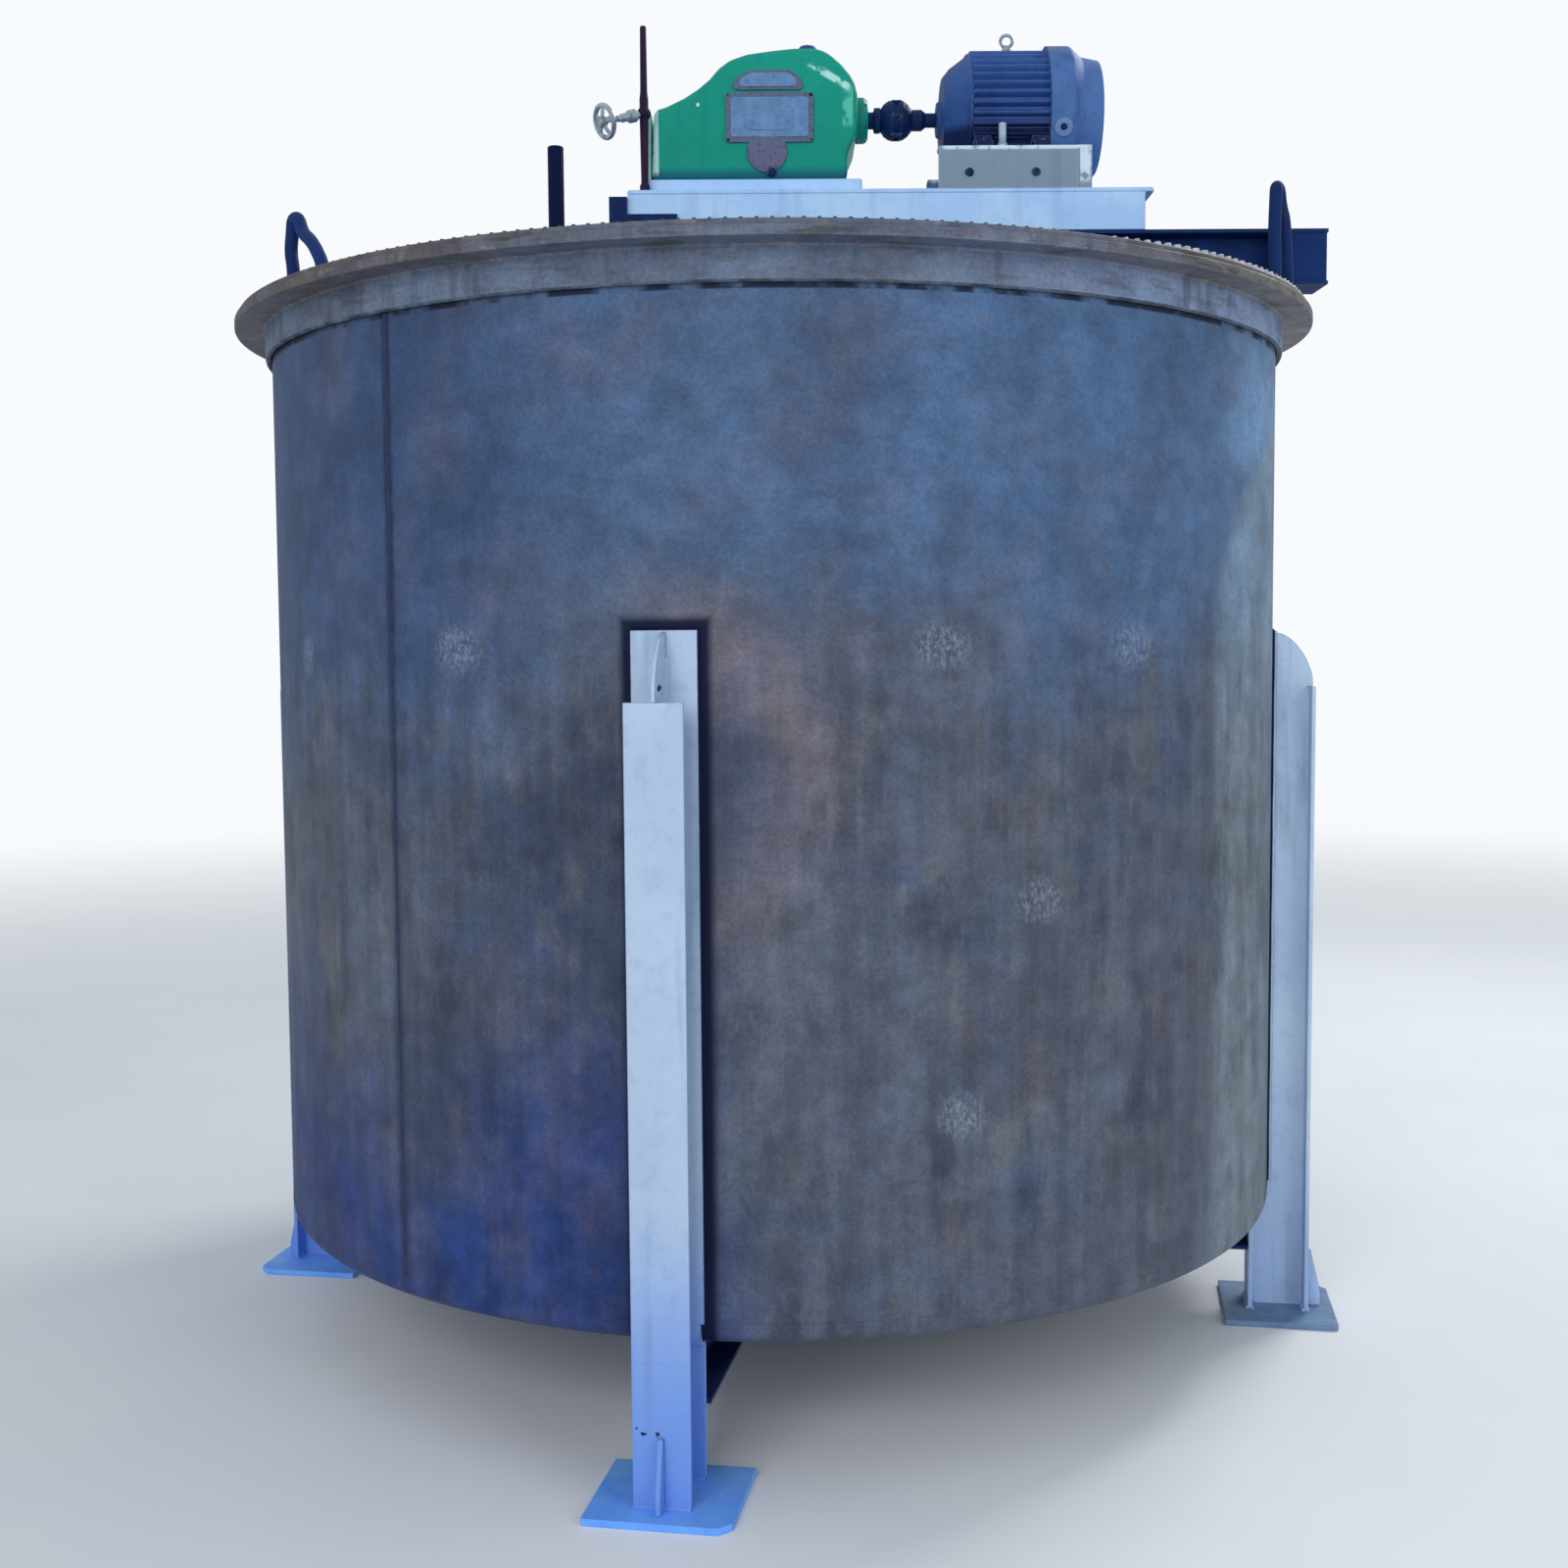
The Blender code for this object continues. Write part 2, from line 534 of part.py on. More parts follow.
def build_pipes():
    """Standpipe with its side valve and handwheel, and the blanked stub on the cover."""
    foot = BASE_TOP + GAP
    tee = [(TEE_R * math.cos(lift), VALVE_Z - foot + TEE_R * math.sin(lift))
           for lift in (math.radians(a) for a in (-50, -36, -18, 0, 18, 36, 50))]
    turned("standpipe", MAROON, [(0, 0), (0.013, 0), (0.013, 0.012), (0.0105, 0.024), *tee,
                                 (0.0105, 0.214), (0.0085, 0.230), (0.0075, PIPE_TOP - foot),
                                 (0, PIPE_TOP - foot)], (PIPE_X, PIPE_Y, foot), steps=20)
    middle = Vector((PIPE_X, PIPE_Y, VALVE_Z))
    turn = (0, math.pi / 2 + VALVE_TILT, VALVE_TURN)
    start = TEE_R + GAP
    turned("valve_body", ZINC, [(0, start), (0.009, start), (0.009, 0.024), (0.015, 0.027),
                                (0.015, 0.044), (0.010, 0.047), (0.010, 0.062 + VALVE_STEM),
                                (0.0048, 0.062 + VALVE_STEM), (0.0048, 0.036), (0, 0.036)],
           middle, turn, 16)
    axis = bpy.data.objects.new("valve_axis", None)
    axis.location = middle
    parts.objects.link(axis)
    wheel = turned("valve_handwheel", ZINC,
                   [(0, 0.040), (0.0045, 0.040)]
                   + [(radius, along + VALVE_STEM) for radius, along in
                      ((0.0045, 0.092), (0.011, 0.094), (0.013, 0.102), (0.031, 0.096), (0.033, 0.091),
                       (0.040, 0.091), (0.042, 0.097), (0.040, 0.103), (0.033, 0.103), (0.012, 0.108),
                       (0.009, 0.113), (0, 0.113))],
                   (0, 0, 0), turn, 32)
    wheel.parent = axis
    turned("vent_stub", NAVY, [(0, 0), (0.024, 0), (0.024, 0.010), (0.017, 0.014),
                               (0.017, VENT_TOP - COVER_TOP - GAP - 0.002),
                               (0.015, VENT_TOP - COVER_TOP - GAP), (0, VENT_TOP - COVER_TOP - GAP)],
           (*VENT_XY, COVER_TOP + GAP), steps=20)


build_tank()
build_legs()
build_lugs()
build_bridge()
build_base()
build_gearbox()
build_coupling()
build_motor()
build_pipes()
bpy.context.view_layer.update()
print(len([o for o in parts.objects if o.type != "EMPTY"]), "nodes")
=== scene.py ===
# %% [markdown]
# A jacketed mixing tank is a round vessel inside a second shell, with steam or water in the space
# between them. It stands on four beam legs, and a motor and a gearbox on a small bridge turn the
# agitator below its cover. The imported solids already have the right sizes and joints. This lesson
# dresses them: each piece is a surface worked out with numpy, and each finish is a node material.

import math

import bmesh
import bpy
import numpy as np
from mathutils import Matrix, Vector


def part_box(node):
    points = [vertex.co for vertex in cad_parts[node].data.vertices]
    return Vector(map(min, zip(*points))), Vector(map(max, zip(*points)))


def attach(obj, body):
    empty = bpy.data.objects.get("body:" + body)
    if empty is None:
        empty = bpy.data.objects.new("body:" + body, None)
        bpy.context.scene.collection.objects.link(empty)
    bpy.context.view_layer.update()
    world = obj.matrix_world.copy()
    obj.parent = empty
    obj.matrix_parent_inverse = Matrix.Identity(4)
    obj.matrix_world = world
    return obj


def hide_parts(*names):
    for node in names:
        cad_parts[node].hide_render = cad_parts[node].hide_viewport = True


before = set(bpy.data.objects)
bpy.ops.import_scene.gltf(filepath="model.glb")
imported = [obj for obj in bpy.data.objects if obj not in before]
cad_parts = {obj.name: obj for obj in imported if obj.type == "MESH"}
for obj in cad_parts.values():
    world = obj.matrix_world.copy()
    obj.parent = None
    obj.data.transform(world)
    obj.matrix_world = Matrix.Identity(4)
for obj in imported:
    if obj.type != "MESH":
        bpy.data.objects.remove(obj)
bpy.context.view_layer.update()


# %% [markdown]
# Every size starts from the frame: the lowest and highest corner of a CAD node give radii, heights
# and lengths. Only what a box can't tell, such as a plate's thickness or the turn of the legs, is a
# number here.

# %% Sizes of the tank, from the frame
def span(node):
    """Lowest and highest corner of a CAD node, as arrays."""
    return [np.array(corner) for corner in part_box(node)]


(_, _, TANK_BOTTOM), (TANK_R, _, PAN_TOP) = span("jacket_bottom")
(_, _, BELT_BOTTOM), (FLANGE_R, _, FLANGE_TOP) = span("rim_ring")
(_, _, COVER_LOW), (COVER_R, _, COVER_TOP) = span("cover_plate")
FLANGE_BOTTOM = FLANGE_TOP - 0.020
BELT_R, BELT_INSIDE, VESSEL_R = 1.213, 1.2012, 1.11
WALL = 0.008
CLEAR = 0.0003                           # between pieces that touch
SEAMS = -40 + 90 * np.arange(4)          # degrees from the front towards +X
LEGS = -10 + 90 * np.arange(4)
SIDES = ("front", "right", "rear", "left")
FRONT_REAR = (("front", -1), ("rear", 1))
ORIGIN, X_AXIS, Z_AXIS = (0, 0, 0), (1, 0, 0), (0, 0, 1)
print(f"jacket {2 * TANK_R:.3f} m across, {FLANGE_TOP - TANK_BOTTOM:.3f} m tall")


# %% [markdown]
# A surface is a grid of points: rows run along a path, columns run round an outline, and four
# neighbours make a face. Carrying an outline along a path makes a beam, a pipe or a weld bead.
# Turning a profile makes a flange or a shaft. Both are whole-array sums, so no loop visits a point.

# %% Grids, bars and turned shapes
def join(*columns):
    """Numbers and arrays, spread to one shape, as the last columns of an array."""
    return np.stack(np.broadcast_arrays(*columns), -1)


def unit(vectors):
    """Vectors brought to length 1."""
    return vectors / np.linalg.norm(vectors, axis=-1, keepdims=True)


def full_turn(count):
    """Angles in radians that divide a full turn evenly."""
    return 2 * math.pi * np.arange(count) / count


def grid(rows, cols, wrap_rows, wrap_cols):
    """Faces of a grid: point (i, j) has the number i * cols + j, and a wrapped side meets its start."""
    i = np.arange(rows if wrap_rows else rows - 1)[:, None]
    j = np.arange(cols if wrap_cols else cols - 1)[None, :]
    here, there = i * cols, (i + 1) % rows * cols
    after = (j + 1) % cols
    return np.stack([here + j, here + after, there + after, there + j], -1).reshape(-1, 4)


def tube(rows, cols, closed=False):
    """Faces of a row of rings, with a cap on each end unless it closes on itself."""
    caps = [] if closed else [np.arange(cols)[None], (rows - 1) * cols + np.arange(cols)[None]]
    return [grid(rows, cols, closed, True)] + caps


def swept(outline, places, across, up, closed=False):
    """Carry an outline along a path: point = place + u * across + v * up."""
    across, up = (np.broadcast_to(vectors, places.shape)[:, None] for vectors in (across, up))
    points = places[:, None] + outline[..., :1] * across + outline[..., 1:] * up
    return points.reshape(-1, 3), tube(len(places), outline.shape[-2], closed)


def prism(outline, axis, start, end):
    """A straight bar along one axis (0, 1 or 2). The outline lies on the other two, in their order."""
    across, up = np.delete(np.eye(3), axis, 0)
    return swept(np.asarray(outline, float), np.outer((start, end), np.eye(3)[axis]), across, up)


def turned(profile, steps, centre=ORIGIN, axis=Z_AXIS):
    """Turn a profile of (radius, height): point = centre + r * (cos a * s + sin a * t) + h * axis."""
    profile = np.asarray(profile, float)
    side, other, axis = frame_of(axis)
    angle = full_turn(steps)[:, None]
    spoke = np.cos(angle) * side + np.sin(angle) * other
    points = np.array(centre) + profile[None, :, :1] * spoke[:, None] + profile[None, :, 1:] * axis
    ring = profile[0, 0] > 0 or profile[-1, 0] > 0
    return points.reshape(-1, 3), [grid(steps, len(profile), True, ring)]


def frame_of(axis):
    """Two unit vectors square to an axis and to each other, and the axis at unit length."""
    axis = unit(np.asarray(axis, float))
    side = unit(np.cross([0, 0, 1.0] if abs(axis[2]) < 0.9 else [1.0, 0, 0], axis))
    return side, np.cross(axis, side), axis


def rounded(corners, radius, steps=4):
    """Put an arc in each corner of a closed outline.

    The arc's centre lies on the corner's bisector, and its points swing evenly from the one tangent
    point to the other. Where two arcs would overlap on an edge, both get smaller."""
    corners = np.asarray(corners, float)
    length = np.linalg.norm(np.roll(corners, -1, 0) - corners, axis=1)
    before, after = (unit(np.roll(corners, shift, 0) - corners) for shift in (1, -1))
    half = np.arccos(np.clip((before * after).sum(1), -1, 1)) / 2
    cut = np.broadcast_to(radius, len(corners)) / np.tan(half)
    share = np.minimum(1, 0.98 * length / (cut + np.roll(cut, -1) + 1e-9))
    cut = cut * np.minimum(share, np.roll(share, 1))
    centre = corners + unit(before + after) * (cut * np.tan(half) / np.sin(half))[:, None]
    start, end = ((corners + way * cut[:, None] - centre)[:, None] for way in (before, after))
    swing = (math.pi - 2 * half)[:, None, None]
    t = np.linspace(0, 1, steps + 1)[None, :, None]
    arcs = centre[:, None] + (np.sin((1 - t) * swing) * start + np.sin(t * swing) * end) / np.sin(swing)
    return arcs.reshape(-1, 2)


def oblong(low, high, radius, steps=4):
    """A rectangle between two corners, with its own corners rounded."""
    (x0, y0), (x1, y1) = low, high
    return rounded([(x0, y0), (x1, y0), (x1, y1), (x0, y1)], radius, steps)


def block(low, high, radius=0.002, axis=None, steps=4):
    """A plate or bar between two corners, rounded along one axis: its longest, unless one is given."""
    axis = int(np.argmax(np.subtract(high, low))) if axis is None else axis
    return prism(oblong(*np.delete([low, high], axis, 1), radius, steps), axis, low[axis], high[axis])


def h_beam(depth, width, flange, web, root=0.010, tip=0.0015, steps=5):
    """Outline of a rolled beam about its middle, its depth along the second axis."""
    d, s, w = depth / 2, width / 2, web / 2
    corners = [(-s, -d), (s, -d), (s, -d + flange), (w, -d + flange), (w, d - flange), (s, d - flange),
               (s, d), (-s, d), (-s, d - flange), (-w, d - flange), (-w, -d + flange), (-s, -d + flange)]
    return rounded(corners, [tip, tip, tip, root, root, tip] * 2, steps)


def around(shells, azimuth):
    """Turn shells about the tank's axis, in degrees from the front towards +X."""
    a = math.radians(azimuth)
    spin = np.array([[math.cos(a), math.sin(a), 0], [-math.sin(a), math.cos(a), 0], [0, 0, 1]])
    return [(points @ spin, faces) for points, faces in shells]


def on_wall(azimuth, radius, height):
    """A point at an azimuth in degrees from the front, a radius and a height, as arrays."""
    a = np.radians(np.asarray(azimuth, float))
    return join(radius * np.sin(a), -radius * np.cos(a), height)


def merged(shells):
    """Several shells as one: the numbers in each shell's faces move past the points before it."""
    starts = np.cumsum([0] + [len(points) for points, _ in shells])
    faces = [quads + start for (_, group), start in zip(shells, starts) for quads in group]
    return np.concatenate([points for points, _ in shells]), faces


def copies(shell, places, axes, spin=0.0):
    """Set a small shell, made along +Z, at many places: point = place + template @ local axes."""
    points, faces = shell
    places, axes = np.asarray(places, float), np.broadcast_to(np.asarray(axes, float), np.shape(places))
    side = unit(np.cross(np.where(np.abs(axes[:, 2:]) < 0.9, [0, 0, 1.0], [1.0, 0, 0]), axes))
    other = np.cross(axes, side)
    turn = np.broadcast_to(spin, len(places))[:, None]
    local = np.stack([np.cos(turn) * side + np.sin(turn) * other,
                      np.cos(turn) * other - np.sin(turn) * side, axes], 1)
    step = len(points) * np.arange(len(places))[:, None, None]
    return ((places[:, None] + points @ local).reshape(-1, 3),
            [(quads[None] + step).reshape(-1, quads.shape[1]) for quads in faces])


print("mesh helpers ready")


# %% [markdown]
# Bolts and weld beads hold such a tank together, and they are what makes its size readable. A bolt
# head is a six-sided profile with a chamfer over a round washer, copied by arrays. A weld bead is a
# low arch carried along the joint, its height rippled once for each pass of the torch.

# %% Bolt heads and weld beads
rng = np.random.default_rng(11)


def bolt_head(size):
    """Washer and hexagon head for a thread of this size, standing on z = 0."""
    washer = np.array([(0, 0), (1.05, 0), (1.05, 0.16), (1.0, 0.2), (0, 0.2)])
    head = np.array([(0, 0.2), (0.88, 0.2), (0.88, 0.78), (0.7392, 0.88), (0, 0.88)])
    return merged([turned(washer * size, 16), turned(head * size, 6)])


def bolts(places, axes, size):
    """Bolt heads at many places, each turned a little differently as a spanner leaves them."""
    places = np.atleast_2d(np.asarray(places, float))
    return copies(bolt_head(size), places, axes, rng.uniform(0, math.pi / 3, len(places)))


def bead(path, out, width, height, pitch=0.007, closed=False):
    """A weld bead along a path, raised along out: height * sqrt(1 - u^2) over its width, rippled."""
    path, out = np.asarray(path, float), np.broadcast_to(out, np.shape(path))
    if closed:
        path, out = np.vstack([path, path[:1]]), np.vstack([out, out[:1]])
    far = np.concatenate([[0], np.cumsum(np.linalg.norm(np.diff(path, axis=0), axis=1))])
    s = np.linspace(0, far[-1], max(8, int(far[-1] / pitch * 3)), endpoint=not closed)
    path, out = (join(*[np.interp(s, far, line[:, i]) for i in range(3)]) for line in (path, out))
    out = unit(out)
    across = unit(np.cross(np.gradient(path, axis=0), out))
    ripple = 1 + 0.16 * np.cos(2 * math.pi * s / pitch) + 0.10 * np.sin(s * 37) * np.sin(s * 11 + 1)
    u = np.linspace(-1, 1, 7)
    foot = [(width * 0.42, -height * 0.5), (-width * 0.42, -height * 0.5)]
    arch = np.concatenate([join(u * width / 2, height * np.sqrt(1 - u ** 2)), foot])
    return swept(arch * join(1 + 0.3 * (ripple - 1), ripple)[:, None], path, across, out, closed)


print("bolt head has", len(bolt_head(0.012)[0]), "points")


# %% [markdown]
# A finish is a sum of masks and tones. Here a wire stands for a node's output, and sums, differences
# and products of wires add the Math nodes, so that a material reads like the formula that it is. A
# tone is written as it looks on a screen, and turned into the linear values that shaders use.

# %% Node helpers
class Wire:
    """A node's output. Arithmetic with it adds Math nodes to its tree."""

    def __init__(self, socket):
        self.socket, self.tree = socket, socket.id_data

    def __add__(self, other):
        return maths("ADD", self, other)

    def __sub__(self, other):
        return maths("SUBTRACT", self, other)

    def __rsub__(self, other):
        return maths("SUBTRACT", other, self)

    def __mul__(self, other):
        return maths("MULTIPLY", self, other)

    def __abs__(self):
        return maths("ABSOLUTE", self)

    __radd__, __rmul__ = __add__, __mul__


def feed(socket, value):
    """Link a wire to a socket, or set the socket's own value."""
    if isinstance(value, Wire):
        value.tree.links.new(value.socket, socket)
    else:
        socket.default_value = value


def add(kind, output, values, **settings):
    """Add a node beside the first wire among its values, and return one of its outputs."""
    tree = next(value.tree for value in values.values() if isinstance(value, Wire))
    node = tree.nodes.new("ShaderNode" + kind)
    for name, setting in settings.items():
        setattr(node, name, setting)
    for key, value in values.items():
        feed(node.inputs[key], value)
    return Wire(node.outputs[output])


def source(tree, kind, output):
    """An output of a node that needs no inputs."""
    return Wire(tree.nodes.new("ShaderNode" + kind).outputs[output])


def maths(operation, *values, clamp=False):
    """A Math node."""
    return add("Math", 0, dict(enumerate(values)), operation=operation, use_clamp=clamp)


def part(vector, axis):
    """One of a vector's X, Y and Z."""
    return add("SeparateXYZ", axis, {0: vector})


def fade(value, start, end):
    """0 where the value is at start, 1 where it is at end, with a soft curve between."""
    return add("MapRange", "Result", {"Value": value, "From Min": start, "From Max": end},
               interpolation_type="SMOOTHSTEP")


def near(value, centre, half, soft):
    """1 within half of a centre, 0 further than half + soft."""
    return fade(abs(value - centre), half + soft, half)


def lerp(factor, low, high):
    """A number between two others."""
    return add("Mix", 0, {0: factor, 2: low, 3: high})


def noise(place, scale, detail=4.0, roughness=0.55, stretch=None):
    """Cloud noise between 0 and 1. A stretch of (x, y, z) squeezes it along each axis first."""
    if stretch is not None:
        place = add("VectorMath", 0, {0: place, 1: stretch}, operation="MULTIPLY")
    return add("TexNoise", "Fac", {"Vector": place, "Scale": scale, "Detail": detail, "Roughness": roughness})


def colour(tone):
    """A tone as it looks on a screen, 0 to 1, as the linear values that shaders use."""
    value = np.array(tone)
    return (*np.where(value <= 0.04045, value / 12.92, ((value + 0.055) / 1.055) ** 2.4), 1.0)


def layered(base, *layers):
    """Lay tones over a base in turn. Each layer is a mask and a tone."""
    for mask, tone in layers:
        under, over = (value if isinstance(value, Wire) else colour(value) for value in (base, tone))
        base = add("Mix", 2, {0: mask, 6: under, 7: over}, data_type="RGBA")
    return base


def new_finish(name, metallic=0.0, specular=0.5):
    """An empty material, its shader's inputs and the place on the object."""
    made = bpy.data.materials.new(name)
    made.use_nodes = True
    shader = made.node_tree.nodes["Principled BSDF"].inputs
    shader["Metallic"].default_value = metallic
    shader["Specular IOR Level"].default_value = specular
    return made, shader, source(made.node_tree, "TexCoord", "Object")


def dress(shader, base, dull, height, strength, distance):
    """Feed a colour, a roughness and a relief into the shader."""
    feed(shader["Base Color"], base)
    feed(shader["Roughness"], dull)
    feed(shader["Normal"], add("Bump", 0, {"Height": height, "Strength": strength, "Distance": distance}))


print("node helpers ready")


# %% [markdown]
# The finishes share a few effects: broad mottling, runs that rain leaves, wear along edges, dust on
# upward faces and a fine skin. Each is a node group with named sockets, so a material states only
# its own values. The shader itself stays in the material.

# %% Shared effects
def shared(name, output="Mask", **numbers):
    """Keep the nodes of a function in a node group. The function then places that group."""
    def keep(work):
        tree = bpy.data.node_groups.new(name, "ShaderNodeTree")
        tree.interface.new_socket("Place", in_out="INPUT", socket_type="NodeSocketVector")
        for label, value in numbers.items():
            socket = tree.interface.new_socket(label, in_out="INPUT", socket_type="NodeSocketFloat")
            socket.default_value = value
        tree.interface.new_socket(output, in_out="OUTPUT", socket_type="NodeSocketFloat")
        given = tree.nodes.new("NodeGroupInput").outputs
        made = work(*[Wire(given[label]) for label in ("Place", *numbers)])
        feed(tree.nodes.new("NodeGroupOutput").inputs[output], made)
        return lambda *values: add("Group", output, dict(enumerate(values)), node_tree=tree)
    return keep


@shared("Mottle", Scale=3.0, Low=0.4, High=0.6)
def mottle(place, scale, low, high):
    """Broad patches: cloud noise, cut between low and high."""
    return fade(noise(place, scale, 6.0, 0.6), low, high)


@shared("Rain runs", Across=20.0, Down=1.0, Low=0.5, High=0.7)
def rain_runs(place, across, down, low, high):
    """Noise that is short across and long down, broken up by a broader cloud."""
    pull = add("CombineXYZ", 0, {"X": across, "Y": across, "Z": down})
    return fade(noise(place, 1.0, 3.0, 0.5, pull) * 0.75 + noise(place, 2.3, 2.0) * 0.25, low, high)


@shared("Edge wear", Radius=0.003, Amount=0.5)
def worn_edges(place, radius, amount):
    """Where a bevelled normal leaves the true one, broken up by noise."""
    soft = add("Bevel", 0, {"Radius": radius}, samples=4)
    true = source(place.tree, "NewGeometry", "Normal")
    edge = fade(add("VectorMath", "Value", {0: soft, 1: true}, operation="DOT_PRODUCT"), 0.995, 0.86)
    limit = (1.0 - amount) * 0.55
    return fade(edge * noise(place, 55.0, 4.0, 0.65), limit, limit + 0.12)


@shared("Dust", Amount=0.5)
def dust(place, amount):
    """Dust on faces that look up, thinner where a cloud says so."""
    up = fade(part(source(place.tree, "NewGeometry", "Normal"), "Z"), 0.55, 0.98)
    return up * fade(noise(place, 7.0, 5.0), 0.35, 0.65) * amount


@shared("Skin", "Height", Grain=400.0, Peel=60.0)
def skin(place, grain, peel):
    """Fine relief: a broad orange peel with a finer grain on it."""
    return noise(place, grain, 2.0) * 0.35 + noise(place, peel, 3.0) * 0.65


print("shared effects:", ", ".join(tree.name for tree in bpy.data.node_groups))


# %% [markdown]
# Most of the small pieces are painted. One function makes any paint: a colour that drifts between
# two tones, a darker or rusty tone where runs and grime lie, bare metal along worn edges, dust on
# top, and a skin in the normal. The legs, the base, the gearbox, the motor and the beams only differ
# in those values.

# %% Painted finishes
# A line of pale colour along a lit edge: a painted highlight.
def highlight_line(place, start, end, half):
    """A ragged mask on a line from start to end, each in x and z.

    along = the place turned into the line's own direction, off = how far it is from the line."""
    x = part(place, "X") - (start[0] + end[0]) / 2
    z = part(place, "Z") - (start[1] + end[1]) / 2
    long = math.dist(start, end)
    lean, drop = (end[0] - start[0]) / long, (end[1] - start[1]) / long
    along = fade(abs(x * lean + z * drop), long / 2 + 0.008, long / 2 - 0.010)
    off = fade(abs(z * lean - x * drop), half + 0.006, half)
    return along * off * fade(noise(place, 42.0, 4.0, 0.65), 0.36, 0.50)


painted = []


def paint(name, slot, tones, grime, bare, rough=0.45, wear=0.36, runs=0.35, dusty=0.1, specular=0.4,
          low=None, wear_and_highlights=()):
    """A painted metal: two tones, grime in runs, bare metal on edges, dust, and a painted skin.

    low is a last tone with the heights where it starts and is full. The last argument holds painted
    highlights as lines seen from the side: each one's start and end in x and z, half its width, and its
    tone."""
    made, shader, place = new_finish(name, specular=specular)
    cloud = mottle(place, 4.0, 0.35, 0.65)
    base = layered(tones[0], (cloud, tones[1]))
    if low:
        base = layered(base, (fade(part(place, "Z"), *low[1:]), low[0]))
    wet = rain_runs(place, 26.0, 2.2, 0.52, 0.68)
    worn = worn_edges(place, 0.003, wear)
    base = layered(base, (mottle(place, 38.0, 0.5, 0.72) * 0.22, grime), (wet * runs, grime), (worn, bare),
                   *[(highlight_line(place, *line), tone) for *line, tone in wear_and_highlights])
    lying = dust(place, dusty)
    base = layered(base, (lying, (0.62, 0.60, 0.56)))
    dull = maths("ADD", cloud * 0.10 + rough + wet * 0.15, lying * 0.3, clamp=True)
    dress(shader, base, dull, skin(place, 500.0, 60.0) - worn * 0.5, 0.25, 0.0012)
    painted.append(name)
    return made, slot


LEG = paint("Leg paint", "leg_paint", [(0.68, 0.76, 0.85), (0.65, 0.73, 0.83)], (0.44, 0.54, 0.72),
            (0.34, 0.40, 0.52), rough=0.42, runs=0.4, low=((0.43, 0.59, 0.89), 0.66, 0.12))
FOOT = paint("Foot blue", "leg_paint", [(0.49, 0.74, 1.0), (0.40, 0.64, 1.0)], (0.26, 0.44, 0.80),
             (0.34, 0.40, 0.52), rough=0.42, runs=0.2)
# Greyer copies of the leg and foot paint for the right leg: the same paint in painted light.
FOOT_OTHER_LIGHT = paint("Foot paint, right side's painted light", "leg_paint", [(0.46, 0.58, 0.72), (0.38, 0.50, 0.65)],
                  (0.24, 0.32, 0.46), (0.34, 0.40, 0.50), runs=0.2)
LEG_OTHER_LIGHT = paint("Leg paint, right side's painted light", "leg_paint", [(0.77, 0.85, 0.93), (0.73, 0.81, 0.90)],
                 (0.48, 0.56, 0.66), (0.34, 0.40, 0.50), runs=0.4, low=((0.66, 0.76, 0.90), 0.62, 0.04))
BASE = paint("Base paint", "base_paint", [(0.72, 0.86, 1.0), (0.66, 0.81, 1.0)], (0.55, 0.64, 0.80),
             (0.52, 0.56, 0.64), wear=0.4, runs=0.25, dusty=0.15)
# The rail's two pale lines are painted highlights: along its top lip and up its end.
RAIL = paint("Rail paint", "base_paint", [(0.70, 0.79, 0.87), (0.63, 0.72, 0.80)], (0.46, 0.52, 0.56),
             (0.78, 0.84, 0.90), rough=0.5, wear=0.5, runs=0.4, dusty=0.2,
             low=((0.50, 0.59, 0.67), 2.832, 2.808),
             wear_and_highlights=[((0.40, 2.797), (0.75, 2.797), 0.003, (0.84, 0.91, 0.98)),
                     ((0.738, 2.716), (0.738, 2.796), 0.010, (0.84, 0.91, 0.98))])
# The low tone is painted shade along the housing's foot. The three lines are painted highlights: the lit
# right shoulder, flecks down the right edge, and the left edge.
GREEN = paint("Gearbox green", "gearbox_green", [(0.01, 0.57, 0.49), (0.04, 0.61, 0.53)],
              (0.02, 0.46, 0.44), (0.45, 0.80, 0.70), rough=0.30, wear=0.40, runs=0.3, specular=0.32,
              low=((0.02, 0.38, 0.46), 2.772, 2.745),
              wear_and_highlights=[((0.089, 3.006), (0.186, 2.948), 0.005, (0.70, 0.92, 0.88)),
                      ((0.180, 2.945), (0.178, 2.860), 0.009, (0.34, 0.76, 0.68)),
                      ((-0.281, 2.900), (-0.281, 2.750), 0.005, (0.74, 0.92, 0.91))])
MINT = paint("Pale end cover", "gearbox_green", [(0.74, 0.92, 0.91), (0.66, 0.88, 0.87)],
             (0.42, 0.66, 0.66), (0.84, 0.95, 0.93), rough=0.35, wear=0.4, runs=0.4)
# The low tone is painted shadow under the motor frame, over its feet.
BLUE = paint("Motor blue", "motor_blue", [(0.21, 0.35, 0.61), (0.175, 0.30, 0.55)], (0.08, 0.15, 0.36),
             (0.40, 0.50, 0.67), wear=0.42, dusty=0.15, specular=0.3,
             low=((0.06, 0.11, 0.30), 2.872, 2.846))
COWL = paint("Cowl blue", "motor_blue", [(0.31, 0.45, 0.68), (0.26, 0.40, 0.62)], (0.14, 0.22, 0.40),
             (0.48, 0.58, 0.76), rough=0.62, dusty=0.15, specular=0.2)
PALE_BLUE = paint("Pale motor blue", "motor_blue", [(0.42, 0.55, 0.76), (0.36, 0.49, 0.70)],
                  (0.22, 0.30, 0.46), (0.60, 0.68, 0.80), rough=0.42, wear=0.4, runs=0.3)
NAVY = paint("Beam navy", "beam_navy", [(0.05, 0.15, 0.35), (0.07, 0.19, 0.41)], (0.07, 0.11, 0.22),
             (0.20, 0.25, 0.38), rough=0.5, wear=0.34, specular=0.2)
